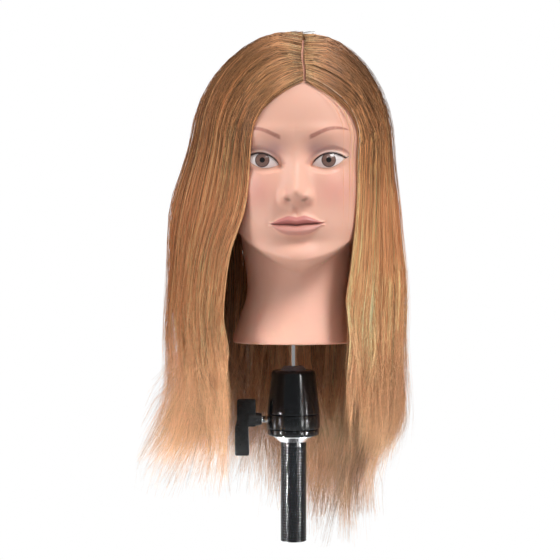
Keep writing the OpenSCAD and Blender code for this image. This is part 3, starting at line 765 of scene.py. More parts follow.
@dataclass(frozen=True)
class SkinFinish:
    """Satin vinyl skin with a painted face, with some painted shade and a painted lid highlight in it.

    Args:
        name: The material's name.
    """

    name: str = "skin"
    base: tuple[float, ...] = srgb(243, 190, 168)
    lips: tuple[float, ...] = srgb(202, 126, 122)
    brow: tuple[float, ...] = srgb(172, 108, 96)
    # dark paint of the lash lines, also used as painted shade in the nostrils and between the lips
    dark: tuple[float, ...] = srgb(62, 36, 32)
    shadow: tuple[float, ...] = srgb(182, 146, 152)
    blush: tuple[float, ...] = srgb(232, 156, 145)
    # colour of the painted highlight on the upper lid
    pale: tuple[float, ...] = srgb(250, 222, 212)

    def build(self) -> bpy.types.Material:
        """Makes the material.

        Returns:
            The material, which reads the attributes paint, tint and gloss.
        """
        s = Shader(self.name)
        one = s.add("ShaderNodeAttribute", attribute_name="paint")
        two = s.add("ShaderNodeAttribute", attribute_name="tint")
        p, t = s.add("ShaderNodeSeparateColor"), s.add("ShaderNodeSeparateColor")
        s.link(one.outputs["Color"], p.inputs[0])
        s.link(two.outputs["Color"], t.inputs[0])
        grain = s.grain(60.0)
        soft = s.maths("MULTIPLY", grain.outputs["Value"], 0.25)
        base = s.mix(soft, self.base, srgb(234, 176, 155))
        base = s.mix(s.maths("MULTIPLY", t.outputs[1], 0.5), base, self.blush)
        base = s.mix(s.maths("MULTIPLY", t.outputs[0], 0.75), base, self.shadow)
        # painted highlight along the upper lid
        base = s.mix(s.maths("MULTIPLY", t.outputs[2], 0.7), base, self.pale)
        base = s.mix(s.maths("MULTIPLY", p.outputs[0], 0.9), base, self.lips)
        streak = s.maths("ADD", s.maths("MULTIPLY", grain.outputs["Height"], 0.5), 0.5)
        base = s.mix(s.maths("MULTIPLY", p.outputs[1], streak), base, self.brow)
        # lash lines, and painted shade in the nostrils and between the lips
        base = s.mix(p.outputs[2], base, self.dark)
        s.link(base, s.surface.inputs["Base Color"])
        rough = s.maths("SUBTRACT", 0.5, s.maths("MULTIPLY", p.outputs[0], 0.1))
        s.link(rough, s.surface.inputs["Roughness"])
        wet = s.add("ShaderNodeAttribute", attribute_name="gloss")
        s.link(wet.outputs["Color"], s.surface.inputs["Coat Weight"])
        s.set(Coat_Roughness=0.16, Coat_IOR=1.6)
        s.set(Specular_IOR_Level=0.42, Subsurface_Weight=0.3, Subsurface_Scale=0.006)
        s.surface.inputs["Subsurface Radius"].default_value = (1.0, 0.45, 0.3)
        s.bump_from(grain.outputs["Height"], 0.06, 0.0004)
        return s.material


@dataclass(frozen=True)
class EyeFinish:
    """A glossy eye with a brown iris, with painted shade under the upper lid.

    Args:
        name: The material's name.
        middle: The iris's middle in metres, (x, z).
    """

    name: str
    middle: tuple[float, float]
    iris_r: float = 0.0066
    pupil_r: float = 0.0024
    # heights above the iris's middle, in metres, over which the painted shadow of the upper lid comes in
    lid_shade_low: float = 0.0015
    lid_shade_high: float = 0.0065

    def build(self) -> bpy.types.Material:
        """Makes the material.

        Returns:
            The material, which reads Object coordinates.
        """
        s = Shader(self.name)
        place = s.add("ShaderNodeTexCoord")
        xyz = s.add("ShaderNodeSeparateXYZ")
        s.link(place.outputs["Object"], xyz.inputs[0])
        dx = s.maths("SUBTRACT", xyz.outputs[0], self.middle[0])
        dz = s.maths("SUBTRACT", xyz.outputs[2], self.middle[1])
        r = s.maths("SQRT", s.maths("ADD", s.maths("MULTIPLY", dx, dx), s.maths("MULTIPLY", dz, dz)))
        angle = s.maths("ARCTAN2", dz, dx)
        rays = s.add("ShaderNodeTexNoise", noise_dimensions="1D", Scale=7.0, Detail=4.0)
        s.link(angle, rays.inputs["W"])
        iris = s.mix(rays.outputs[0], srgb(84, 58, 50), srgb(150, 114, 102))
        ring = self.step(s, r, self.iris_r * 0.8, self.iris_r * 1.0)
        iris = s.mix(ring, iris, srgb(58, 42, 40))
        iris = s.mix(self.step(s, r, self.pupil_r * 1.15, self.pupil_r * 0.9), iris, srgb(10, 7, 7))
        grain = s.grain(90.0)
        veined = s.maths("MULTIPLY", grain.outputs["Value"], 0.4)
        white = s.mix(veined, srgb(238, 228, 226), srgb(226, 208, 206))
        inner = self.step(s, r, self.iris_r * 1.05, self.iris_r * 0.95)
        # painted shadow of the upper lid over the top of the white and the iris
        lid_shadow = s.maths("MULTIPLY", self.step(s, dz, self.lid_shade_low, self.lid_shade_high), 0.55)
        seen = s.mix(lid_shadow, s.mix(inner, white, iris), srgb(92, 72, 70))
        s.link(seen, s.surface.inputs["Base Color"])
        s.link(s.maths("MULTIPLY", inner, 0.45), s.surface.inputs["Coat Weight"])
        s.set(Roughness=0.3, Specular_IOR_Level=0.3, Coat_Roughness=0.04)
        return s.material

    @staticmethod
    def step(s: Shader, r: bpy.types.NodeSocket, zero: float, one: float) -> bpy.types.NodeSocket:
        """A soft step.

        Args:
            s: The shader.
            r: The value it depends on.
            zero: Where the step is 0.
            one: Where the step is 1.

        Returns:
            The step's socket.
        """
        node = s.add("ShaderNodeMapRange", interpolation_type="SMOOTHSTEP")
        s.link(r, node.inputs["Value"])
        low, high = min(zero, one), max(zero, one)
        node.inputs["From Min"].default_value, node.inputs["From Max"].default_value = low, high
        ends = (0.0, 1.0) if one > zero else (1.0, 0.0)
        node.inputs["To Min"].default_value, node.inputs["To Max"].default_value = ends
        return node.outputs[0]


@dataclass(frozen=True)
class HairFinish:
    """Hair whose colour is stored strand by strand.

    Args:
        name: The material's name.
    """

    name: str = "hair"

    def build(self) -> bpy.types.Material:
        """Makes the material.

        Returns:
            The material, which reads the attribute tone.
        """
        s = Shader(self.name)
        tone = s.add("ShaderNodeAttribute", attribute_name="tone")
        grain = s.grain(140.0)
        dark = s.add("ShaderNodeMix", data_type="RGBA", blend_type="MULTIPLY")
        s.link(s.maths("MULTIPLY", grain.outputs["Value"], 0.15), dark.inputs[0])
        s.link(tone.outputs["Color"], dark.inputs[6])
        dark.inputs[7].default_value = srgb(205, 180, 165)
        s.link(dark.outputs[2], s.surface.inputs["Base Color"])
        s.set(Roughness=0.4, Specular_IOR_Level=0.36, Sheen_Weight=0.8, Sheen_Roughness=0.5)
        s.surface.inputs["Sheen Tint"].default_value = srgb(255, 190, 130)
        return s.material


class Metal(Enum):
    """Whether a plain finish is metal."""

    NO = 0.0
    YES = 1.0


@dataclass(frozen=True)
class PlainFinish:
    """A moulded, painted or metal surface with a little unevenness.

    Args:
        name: The material's name.
        colour: Its colour.
        rough: Its roughness.
        metal: Whether it is metal.
        spread: How much the roughness varies.
        scale: How fine the unevenness is, per metre.
        relief: Strength of the unevenness.
        shine: Strength of its reflections.
        vary: How much paler its palest spots are.
        slot: Not used.
        grain_h: Height of the unevenness in metres.
    """

    name: str
    colour: tuple[float, ...]
    rough: float
    metal: Metal = Metal.NO
    spread: float = 0.08
    scale: float = 120.0
    relief: float = 0.05
    shine: float = 0.5
    vary: float = 1.35
    slot: str = ""
    grain_h: float = 0.0003

    def build(self) -> bpy.types.Material:
        """Makes the material.

        Returns:
            The material, which reads Object coordinates.
        """
        s = Shader(self.name)
        grain = s.grain(self.scale)
        paler = tuple(min(1.0, c * self.vary + 0.004) for c in self.colour[:3]) + (1.0,)
        s.link(s.mix(grain.outputs["Value"], self.colour, paler), s.surface.inputs["Base Color"])
        uneven = s.maths("MULTIPLY", grain.outputs["Value"], self.spread)
        rough = s.maths("ADD", self.rough - self.spread / 2, uneven)
        s.link(rough, s.surface.inputs["Roughness"])
        s.set(Metallic=self.metal.value, Specular_IOR_Level=self.shine)
        s.bump_from(grain.outputs["Height"], self.relief, self.grain_h)
        return s.material


# Sub-assemblies


@dataclass
class Head:
    """The vinyl head: face and neck in one shell, scalp, eyes and lash lines.

    Args:
        form: The smooth head.
        face: The features.
    """

    form: HeadForm
    face: FaceForm = field(default_factory=FaceForm)
    lash_r: float = 0.62
    lash_wing: float = 3.2

    def columns(self) -> Array:
        """Angles of the shell's columns, close together over the face."""
        half = np.concatenate([
            np.arange(0.21, 24, 0.42), np.arange(24.2, 42, 0.6), np.arange(42.6, 76, 1.7),
            np.arange(78, 179, 4.0),
        ])
        return np.concatenate([-half[::-1], half]) + self.form.turn

    def rows(self) -> Array:
        """Shares of the seam's height, close together over the face."""
        neck = [np.array([0, 0.5, 1.2, 2.2]), np.arange(4.5, 72, 3.0)]
        face = [np.arange(72, 97, 1.1), np.arange(97, 201, 0.56), np.linspace(201.5, 240, 24)]
        return np.concatenate(neck + face) / self.form.hairline_h

    def skin(self, a: Array, h: Array) -> tuple[Array, Array, Array, Array]:
        """The skin with its features.

        Args:
            a: Angles from the front in degrees.
            h: Heights.

        Returns:
            Points, distance from the middle of the face, distance to an eye's opening, and share of face.
        """
        f = self.form
        r = f.skin_r(a, h)
        points = f.at(a, r, h)
        x = r * np.sin(np.radians(a - f.turn)) + self.face.lean * (h - self.face.lean_h) * (h > 60)
        out = r * np.cos(np.radians(a - f.turn))
        share = ease((80 - np.abs(a)) / 14) * ease((h - 70) / 8)
        new, away = self.face.lids(x, h, out + self.face.relief(x, h))
        move = (new - out) * share
        t = math.radians(f.turn)
        points[:, 0] += move * math.sin(t)
        points[:, 1] -= move * math.cos(t)
        rim = 1.1 * (1 - np.sqrt(1 - np.clip(1 - h / 2.2, 0, 1) ** 2))
        points[:, 0] -= rim * np.sin(np.radians(a))
        points[:, 1] += rim * np.cos(np.radians(a))
        return points, x, away, share

    def build_shell(self) -> bpy.types.Object:
        """Makes face and neck.

        Returns:
            The shell, open at the neck's foot and along the seam, with a wall.
        """
        f = self.form
        columns, rows = self.columns(), self.rows()
        a = np.tile(columns, len(rows))
        h = (rows[:, None] * f.seam_h(columns)[None, :]).ravel()
        points, x, away, share = self.skin(a, h)
        throat = np.arange(104, 44, -3.0) / f.hairline_h
        inner_rows = np.concatenate([np.linspace(1, 0.46, 8), throat, np.linspace(0.17, 0, 5)])
        ai = np.tile(columns, len(inner_rows))
        hi = (inner_rows[:, None] * f.seam_h(columns)[None, :]).ravel()
        thick = f.wall + 5 * ease((hi - f.throat_h) / 40)
        behind_eyes = 4.0 * ease((hi - 150) / 10) * ease((60 - np.abs(ai)) / 20)
        inner = f.at(ai, f.smooth_r(ai, hi) - thick - behind_eyes, hi)
        n, m = len(columns), len(rows) + len(inner_rows)
        faces = grid_faces(m, n, True)
        last = np.arange(n) + (m - 1) * n
        first = np.arange(n)
        close = np.stack([last, np.roll(last, -1), np.roll(first, -1), first], -1)
        shell = mesh_object("face_and_neck", np.concatenate([points, inner]), [faces, close])
        spare = np.zeros((len(inner), 3))
        for name, values in zip(("paint", "tint", "gloss"), self.face.paints(x, h, away)):
            paint(shell, name, np.concatenate([values * share[:, None], spare]))
        return shell

    def build_scalp(self) -> bpy.types.Object:
        """Makes the scalp that the hair is rooted in.

        Returns:
            A cap with a wall, from the seam to the crown.
        """
        f = self.form
        columns = np.arange(-180, 180, 3.0)
        s = np.sin(np.radians(np.linspace(0, 89.5, 28)))
        low = f.seam_h(columns) + 0.3
        h = (low[None, :] + (f.head_h - low)[None, :] * s[:, None]).ravel()
        a = np.tile(columns, len(s))
        out = f.at(a, f.skin_r(a, h), h)
        middle = np.stack([f.centre_x(h), 0 * h, f.neck_z + np.minimum(h, f.dome_h)], -1)
        way = out - middle
        n, m = len(columns), len(s)
        inner = out - 7 * way / np.linalg.norm(way, axis=1, keepdims=True)
        inner = inner.reshape(m, n, 3)[::-1].reshape(-1, 3)
        faces = np.concatenate([grid_faces(m, n, True), grid_faces(m, n, True) + m * n])
        ring = np.arange(n)
        foot = (2 * m - 1) * n
        join = np.stack([foot + ring, foot + np.roll(ring, -1), np.roll(ring, -1), ring], -1)
        caps = ((m - 1) * n + ring)[None, :]
        lid = (m * n + ring)[None, ::-1]
        return mesh_object("scalp", np.concatenate([out, inner]), [faces, join, caps, lid])

    def build_eye(self, side: int) -> bpy.types.Object:
        """Makes one eye.

        Args:
            side: -1 for the left of the picture, 1 for the right.

        Returns:
            A domed slab that fills the opening.
        """
        eye = self.face.eye
        n, m = 45, 21
        t = 0.5 - 0.5 * np.cos(np.linspace(0, np.pi, n))
        x = lerp(eye.inner[0] - 0.2, eye.outer[0] + 0.2, t)
        high, low = eye.upper(x) + 0.9, eye.lower(x) - 0.9
        v = np.linspace(0, 1, m)[:, None]
        h = (low[None, :] * (1 - v) + high[None, :] * v).ravel()
        xx = np.tile(x, m)
        far = np.hypot(xx - eye.iris_x, h - eye.iris_h)
        front = eye.front(xx, h) + eye.cornea * bump(far, eye.cornea_w)
        grids = [self.place(side * xx, h, out) for out in (front, eye.front(xx, h) - 1.4)]
        quads = grid_faces(m, n, False)
        back = quads[:, ::-1] + n * m
        rim = np.concatenate([
            np.arange(n), np.arange(1, m) * n + n - 1,
            (m - 1) * n + np.arange(n - 2, -1, -1), np.arange(m - 2, 0, -1) * n,
        ])
        nxt = np.roll(rim, -1)
        wall = np.stack([rim, rim + n * m, nxt + n * m, nxt], -1)
        faces = np.concatenate([quads, back, wall])
        name = "eye_ball_left" if side < 0 else "eye_ball_right"
        return mesh_object(name, np.concatenate(grids), [faces if side > 0 else faces[:, ::-1]])

    def place(self, x: Array, h: Array, out: Array) -> Array:
        """A point given in the face's own plane.

        Args:
            x: Distance from the middle of the face, positive to the right.
            h: Height above the neck's edge.
            out: Distance forwards from the head's axis.

        Returns:
            Points (x, y, z) in millimetres.
        """
        f, turn = self.form, math.radians(self.form.turn)
        sx = x - self.face.lean * (h - self.face.lean_h)
        return np.stack([
            f.centre_x(h) + sx * math.cos(turn) + out * math.sin(turn),
            sx * math.sin(turn) - out * math.cos(turn), f.neck_z + h,
        ], -1)

    def build_lash(self, side: int) -> bpy.types.Object:
        """Makes the dark lash line along one upper lid, with a small wing at its outer end.

        Args:
            side: -1 for the left of the picture, 1 for the right.

        Returns:
            A thin tube along the lid's edge.
        """
        eye = self.face.eye
        x = np.linspace(eye.inner[0] + 0.8, eye.outer[0] + self.lash_wing, 40)
        past = np.maximum(0, x - eye.outer[0])
        h = eye.upper(x) + 0.55 * past
        t = np.linspace(0, 1, len(x))
        front = eye.front(np.minimum(x, eye.outer[0]), h - 0.55 * past) + eye.lid - 0.35 - 0.75 * past
        radius = self.lash_r * np.interp(t, [0, 0.35, 0.75, 0.92, 1], [0.35, 0.75, 1.15, 0.8, 0.2])
        points, faces = tube(self.place(side * x, h, front), radius, 8)
        name = "lash_left" if side < 0 else "lash_right"
        return mesh_object(name, points, [f if side > 0 else f[:, ::-1] for f in faces])

    def iris(self, side: int) -> tuple[float, float]:
        """The middle of one iris in metres, (x, z)."""
        f, eye, turn = self.form, self.face.eye, math.radians(self.form.turn)
        lean = self.face.lean * (eye.iris_h - self.face.lean_h)
        x = f.shift + (side * eye.iris_x - lean) * math.cos(turn) + eye.iris_out * math.sin(turn)
        return x * MM, (f.neck_z + eye.iris_h) * MM

    def dress(self) -> list[bpy.types.Object]:
        """Makes all pieces, gives them their finishes and lets them ride on the head.

        Returns:
            The pieces.
        """
        shell = self.build_shell()
        shell.data.materials.append(SkinFinish().build())
        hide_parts("face_shell")
        scalp = self.build_scalp()
        scalp.data.materials.append(PlainFinish("scalp", srgb(214, 156, 134), 0.6, spread=0.1).build())
        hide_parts("scalp_cap")
        made = [shell, scalp]
        lash_paint = PlainFinish("lash_paint", srgb(44, 28, 26), 0.5, spread=0.1).build()
        for side, node in ((-1, "eye_left"), (1, "eye_right")):
            lash = self.build_lash(side)
            lash.data.materials.append(lash_paint)
            made.append(lash)
            eye = self.build_eye(side)
            eye.data.materials.append(EyeFinish(node, self.iris(side)).build())
            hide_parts(node)
            made.append(eye)
        for obj in made:
            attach(obj, "head")
        return made


class Side(Enum):
    """The two sides of the parting, as the picture shows them."""

    LEFT = -1
    RIGHT = 1


class Growth(Enum):
    """How a strand lies: in the mass of the hair, loose around it, or strayed over the face.

    Args:
        width: Share of the usual width.
        pale: How much lighter it is.
    """

    MASS = (1.0, 0.0)
    LOOSE = (0.46, -0.6)
    STRAY = (0.6, 0.8)

    def __init__(self, width: float, pale: float) -> None:
        """Keeps the two values under their names."""
        self.width = width
        self.pale = pale


@dataclass(frozen=True)
class Fall:
    """How the hair of one side falls.

    Args:
        loose: Number of loose strands.
        edge: Angle of the front edge by height, without the side's sign.
        painted_shine_band: Where the painted highlight on the dome lies, as a share of the left side's
            distance.
        bright: How much lighter the strands are above their ends, as painted light on the side that the key
            lamp lights.
        lift: How high the strands arch over the dome.
        calm: How much the ends sway.
        fan: How far the ends spread outwards.
        frizz: How far loose strands stand off along the fall, and at their ends.
    """

    loose: int
    edge: Table
    painted_shine_band: float
    bright: float
    lift: float
    calm: float
    fan: float
    frizz: tuple[float, float]


@dataclass
class Sown:
    """The strands of one side before they are laid, one value per strand.

    Args:
        side: Side of the parting.
        growth: How they lie.
        lock: Number of the lock that the strand belongs to.
        angle: Angle from the front at the dome's foot.
        lock_angle: The same angle for the middle of its lock.
        depth: 0 in the outermost layer, 1 in the innermost, below 0 outside the mass.
        lock_depth: The same for the middle of its lock.
        tip: Height of the tip.
        width: Radius in millimetres.
        tone: How light the strand is, about -1 to 1.
    """

    side: Side
    growth: Growth
    lock: Array
    angle: Array
    lock_angle: Array
    depth: Array
    lock_depth: Array
    tip: Array
    width: Array
    tone: Array


@dataclass
class Hair:
    """Long straight hair with a middle parting, strand by strand.

    Args:
        head: The head it grows on.
    """

    head: HeadForm
    seed: int = 7
    locks: int = 300
    strands_in_lock: int = 20
    strays: int = 7
    segments: int = 20
    crowd: float = 1.3
    per_piece: int = 1600
    dome_h: float = 185.0
    top_h: float = 298.0
    thick: float = 18.0
    sheet: float = 0.42
    thin_in: float = 11.0
    strand_r: float = 0.34
    right_w: float = 110.0
    left_w: float = 118.5
    front_w: float = 92.0
    back_w: float = 106.0
    hang_r: float = 84.0
    hang_h: float = 150.0
    hang_in: float = 12.0
    hang_low: float = 100.0
    lever_clear: tuple[float, float] = (-58.0, -30.0)
    spare: float = 13.0
    left_share: Table = Table((
        (-125, 1.17), (-110, 1.12), (-95, 1.0), (-80, 0.97), (-55, 0.965), (-20, 0.985), (12, 1.02),
        (70, 1.03), (127, 1.02), (142, 0.99), (156, 0.945), (171, 0.9), (185, 0.855),
    ))
    right_share: Table = Table((
        (-180, 0.46), (-162, 0.51), (-148, 0.55), (-133, 0.6), (-119, 0.68), (-104, 0.79), (-90, 0.89),
        (-75, 0.945), (-55, 0.96), (12, 0.96), (41, 0.95), (98, 0.89), (127, 0.87), (156, 0.835), (185, 0.8),
    ))
    back_share: Table = Table(((-180, 0.91), (-100, 0.94), (0, 0.98), (100, 0.97), (140, 1), (185, 1.035)))
    front_share: Table = Table(((-100, 0.94), (60, 0.96), (100, 1), (140, 1.02), (185, 1.055)))
    left: Fall = Fall(
        loose=950,
        edge=Table((
            (-130, 45), (-56, 46), (0, 49), (41, 51), (92, 46), (106, 40.5), (133, 35), (170, 32.5),
            (198, 27.5), (221, 20), (241, 0),
        )),
        painted_shine_band=1.0, bright=1.0, lift=10.0, calm=1.0, fan=2.0, frizz=(4.0, 22.0),
    )
    right: Fall = Fall(
        loose=520,
        edge=Table((
            (-180, 40), (-56, 39), (0, 37.5), (41, 37), (78, 39.5), (97, 41), (133, 41.5), (170, 41),
            (198, 38), (221, 31), (241, 0),
        )),
        painted_shine_band=0.74, bright=1.1, lift=6.0, calm=0.55, fan=1.0, frizz=(3.0, 9.0),
    )
    tip_h: Table = Table((
        (-180, -150), (-165, -146), (-150, -112), (-120, -108), (-90, -112), (-60, -116), (-36, -118),
        (0, -110), (40, -88), (60, -95), (80, -98), (95, -104), (110, -114), (122, -140), (135, -176),
        (150, -172), (165, -162), (180, -150),
    ))
    # Colours by distance from the parting: a painted highlight about 16 mm out, darker just past it, then
    # the lengths lighter downwards
    hues_and_painted_shine: tuple[tuple[float, tuple[int, int, int]], ...] = (
        (0, (150, 106, 76)), (6, (182, 132, 94)), (16, (238, 188, 146)), (25, (196, 142, 102)),
        (36, (126, 87, 58)), (60, (136, 94, 61)), (108, (194, 133, 89)), (160, (226, 159, 110)),
        (205, (242, 173, 124)), (265, (254, 184, 133)), (335, (255, 196, 148)), (430, (255, 206, 162)),
    )
    bend_h: float = 150.0
    bend_r: float = 115.0
    parting_x: float = 4.0
    stray_hue: float = 250.0

    def reach(self, a: Array, h: Array) -> Array:
        """Radius of the hair's outside.

        Args:
            a: Angle from the front in degrees.
            h: Height.

        Returns:
            The radius in millimetres.
        """
        k = np.minimum(h, self.dome_h)
        up = np.clip((h - self.dome_h) / (self.top_h - self.dome_h), 0, 1)
        right, left = self.right_w * self.right_share(k), self.left_w * self.left_share(k)
        front, back = self.front_w * self.front_share(k), self.back_w * self.back_share(k)
        return np.sqrt(1 - up**2) * oval(a, right, left, front, back)

    def inside(self, a: Array, h: Array) -> Array:
        """Radius of the hair's inside: on the skin above the jaw, clear of the holder below the neck.

        Args:
            a: Angle from the front in degrees.
            h: Height.

        Returns:
            The radius in millimetres.
        """
        skin = np.where(h > 0, self.head.skin_r(a, np.maximum(h, 0)), 0) + 1.2
        hang = self.hang_r * (1 - ease(h / self.hang_h)) - self.hang_in * ease((-h - self.hang_low) / 44)
        return np.maximum(skin, np.maximum(hang, self.reach(a, h) - self.thick - 4))

    def fall(self, side: Side) -> Fall:
        """How one side falls."""
        return self.left if side is Side.LEFT else self.right

    def edge(self, side: Side, h: Array) -> Array:
        """Angle of the hair's front edge at a height, without its side's sign."""
        return np.maximum(0, self.fall(side).edge(h))

    def layer(self, side: Side, a: Array, h: Array, depth: Array) -> Array:
        """Radius of a layer of hair that hangs.

        Args:
            side: Side of the parting.
            a: Angle from the front, without the side's sign.
            h: Height.
            depth: 0 for the outermost layer, 1 for the innermost.

        Returns:
            The radius in millimetres.
        """
        front = self.edge(side, h)
        signed = side.value * a
        start = np.maximum(self.inside(side.value * front, h), self.inside(signed, h)) + 3.5
        outer = lerp(start, np.maximum(self.reach(signed, h), start), ease((a - front) / 36))
        deep = depth * lerp(2.8, self.thick, ease((a - front) / 30))
        return np.maximum(outer - 1.5 - deep, self.inside(signed, h) + 0.5)

    def sow(self, side: Side, growth: Growth, rng: np.random.Generator) -> Sown:
        """Chooses where the strands of one side start and end.

        Args:
            side: Side of the parting.
            growth: Which strands to sow.
            rng: Source of chance.

        Returns:
            The strands.
        """
        count, each = {
            Growth.MASS: (self.locks, self.strands_in_lock),
            Growth.LOOSE: (self.fall(side).loose, 1),
            Growth.STRAY: (self.strays, 1),
        }[growth]
        n = count * each
        lock = np.repeat(np.arange(count), each)
        place = (np.arange(count) + rng.uniform(0, 1, count)) / count
        chance = rng.uniform(0, 1, count)
        outer, inner = 0.06 * chance / self.sheet, (chance - self.sheet) / (1 - self.sheet)
        deep = np.where(chance < self.sheet, outer, inner)
        if growth is Growth.LOOSE:
            deep = -np.minimum(rng.exponential(0.12, count), 0.3)
        if growth is Growth.STRAY:
            place, deep = -0.1 * place**1.5, np.zeros(count)
        front = float(self.edge(side, np.array(self.dome_h)))
        spread = 0.012 if growth is Growth.MASS else 0.0
        at = np.clip(place[lock] + rng.normal(0, spread, n), -0.2 if growth is Growth.STRAY else 0, 1.03)
        uneven = np.where(deep[lock] < 0.07, 0.02, 0.14) * rng.normal(0, 1, n)
        depth = np.clip(deep[lock] + uneven, 0, 1) if growth is Growth.MASS else deep[lock]
        lock_angle = front + (180 - front) * place[lock]
        tip = self.tip_h(side.value * np.clip(lock_angle, 0, 179.9)) - 14 + rng.normal(0, 10, count)[lock]
        short = np.abs(rng.normal(0, 12, n)) + rng.uniform(0, 90, n) * (rng.uniform(0, 1, n) < 0.2)
        ragged = np.abs(rng.normal(0, 22, count)) + rng.uniform(0, 100, count) * (chance > 0.7)
        short = short + ragged[lock]
        tip = tip + short * lerp(1.0, 0.45, ease((lock_angle - 105) / 30))
        if growth is Growth.STRAY:
            tip = rng.uniform(60, 130, n)
        angle = front + (180 - front) * at
        bunch = 0.9 * wave(angle, 8.5, 5 * depth) * ease((angle - front) / 6)
        width = growth.width * self.strand_r * rng.uniform(0.75, 1.25, n)
        tone = rng.normal(0, 1, count)[lock] * 0.9 + rng.normal(0, 1, n) * 0.85 + growth.pale
        return Sown(
            side=side, growth=growth, lock=lock, angle=angle + bunch, lock_angle=lock_angle, depth=depth,
            lock_depth=deep[lock], tip=tip, width=width, tone=tone,
        )

    def over_dome(self, sown: Sown, rng: np.random.Generator) -> Array:
        """Lays the strands from the parting over the head to the dome's foot.

        Args:
            sown: The strands.
            rng: Source of chance.

        Returns:
            Points (x, y, h) of each strand, from the head's middle.
        """
        n, sign, f = len(sown.angle), sown.side.value, self.head
        front = float(self.edge(sown.side, np.array(self.dome_h)))
        foot_r = self.layer(sown.side, sown.angle, np.full(n, self.dome_h), sown.depth)
        foot_x, foot_y = foot_r * np.sin(np.radians(sown.angle)), -foot_r * np.cos(np.radians(sown.angle))
        root_y = np.maximum(-82.5, -81 + 93 * ease((sown.angle - front) / 75) + rng.normal(0, 1.4, n))
        span = np.where(root_y < 0, f.face_out, f.head_back)
        share = np.maximum(0, 1 - (np.abs(root_y) / span) ** 2) ** (1 / f.dome_power)
        root_h = f.dome_h + (f.head_h - f.dome_h) * share
        late = rng.uniform(0, 1.1, n) * sown.depth * ease((sown.angle - front - 25) / 20)
        start = np.where(sown.depth > 0.35, late, 0)[:, None]
        lam = start + (math.pi / 2 - start) * np.linspace(0, 1, 30)[None, :]
        behind = ease((root_y + 42) / 30)
        parting = self.parting_x + 0.7 * np.sin(root_y / 8) + 0.4 * np.sin(root_y / 3.3)
        beside = rng.triangular(0.75, 1.2, 3.6, n) - 1.7 * behind + sign * parting
        arch = lerp(1.85, 1.0, ease((sown.angle - front) / 26))[:, None]
        x = beside[:, None] * (1 - 0.8 * np.sin(lam)) + foot_x[:, None] * np.sin(lam) ** arch
        power = lerp(1.5, 1.0, ease((sown.angle - 90) / 40))[:, None]
        y = root_y[:, None] + (foot_y - root_y)[:, None] * np.sin(lam) ** power
        grown = ease((sown.angle - front) / 30) * (1 - 0.8 * np.clip(sown.depth, 0, 1))
        lift = self.fall(sown.side).lift * grown[:, None] * ease(lam / 0.34 + 0.8 * behind[:, None])
        lift = lift * (1 - 0.6 * behind[:, None])
        layer = 1.4 * (1 - np.clip(sown.depth, 0, 1))[:, None] + rng.uniform(0, 1.2, n)[:, None]
        h = self.dome_h + (root_h[:, None] + 0.4 + lift + layer - self.dome_h) * np.cos(lam)
        a, r = np.degrees(np.arctan2(x, -y)), np.hypot(x, y)
        skin = f.skin_r(sign * a, np.minimum(h, f.head_h - 4))
        rooted = (start > 0) * np.exp(-(lam - start) / 0.16)
        r = r + rooted * (skin + 0.3 - r)
        proud = skin + 0.5 + layer
        r = np.where(h < f.head_h - 4, np.maximum(r, proud), r)
        return np.stack([sign * r * np.sin(np.radians(a)), -r * np.cos(np.radians(a)), h], -1)

    def hanging(self, sown: Sown, rng: np.random.Generator) -> Array:
        """Lays the strands from the dome's foot to their tips.

        Args:
            sown: The strands.
            rng: Source of chance.

        Returns:
            Points (x, y, h) of each strand, from the head's middle.
        """
        n, lock, sign, fall = len(sown.angle), sown.lock, sown.side.value, self.fall(sown.side)
        count = int(lock.max()) + 1
        front = float(self.edge(sown.side, np.array(self.dome_h)))
        t = np.linspace(0, 1, 40)[None, 1:]
        h = self.dome_h + (sown.tip - self.dome_h)[:, None] * t
        low = ease((self.dome_h - h) / 300)
        pull = rng.uniform(0.3, 0.95, count)[lock][:, None] * (0.35 * low + 0.65 * t**3)
        a = sown.lock_angle[:, None] + (sown.angle - sown.lock_angle)[:, None] * (1 - pull)
        edge = self.edge(sown.side, h)
        a = edge + (a - front) * (180 - edge) / (180 - front)
        deep = sown.lock_depth[:, None] + (sown.depth - sown.lock_depth)[:, None] * (1 - 0.5 * pull)
        r = self.layer(sown.side, a, h, deep)
        flare = rng.uniform(0.2, 1.1, count)[lock][:, None]
        inner = np.minimum(r, self.layer(sown.side, a, np.maximum(h, -75), deep))
        r = inner + (r - inner) * flare
        turn = TURN * rng.uniform(0, 1, (2, count))[:, lock][:, :, None]
        long = rng.uniform(130, 240, count)[lock][:, None]
        wander = a / 13 + 0.8 * sown.lock_depth[:, None] + 0.3 * wave(h, 260, 0)
        a = a + 1.3 * low * np.sin(TURN * wander) * ease((a - edge) / 8)
        r = r + 1.6 * low * np.cos(TURN * wander)
        flow = 1.8 * low * wave(h, 230, a * 0.11) + low * wave(h, 120, a * 0.23)
        flow += 2.2 * low * wave(h, long, turn[0])
        flow += 1.4 * low * wave(h, long * 0.42, turn[1])
        flow += 1.0 * low * wave(h, 75, TURN * rng.uniform(0, 1, n)[:, None])
        end = ease((25 - h) / 150) ** 2
        flow += fall.calm * (rng.normal(0, 13, count)[lock] + rng.normal(0, 8, n))[:, None] * end
        bend = fall.calm * ease((t - 0.6) / 0.4) ** 2 * ease((20 - h) / 60)
        flow += (rng.normal(0, 26, count)[lock] + rng.normal(0, 8, n))[:, None] * bend
        loose = (sown.depth < 0)[:, None] * rng.uniform(0, 1, n)[:, None]
        curl = rng.uniform(45, 110, n)[:, None]
        sway = lerp(6, 2, ease((a - 100) / 40)) * loose * low
        flow += sway * wave(h, curl, TURN * rng.uniform(0, 1, n)[:, None])
        a = a + np.degrees(flow / np.maximum(r, 40))
        r = r + 1.8 * low * wave(h, long * 0.8, turn[1])
        r = r + (rng.normal(fall.fan, 6, count)[lock] + rng.normal(1, 4, n))[:, None] * end
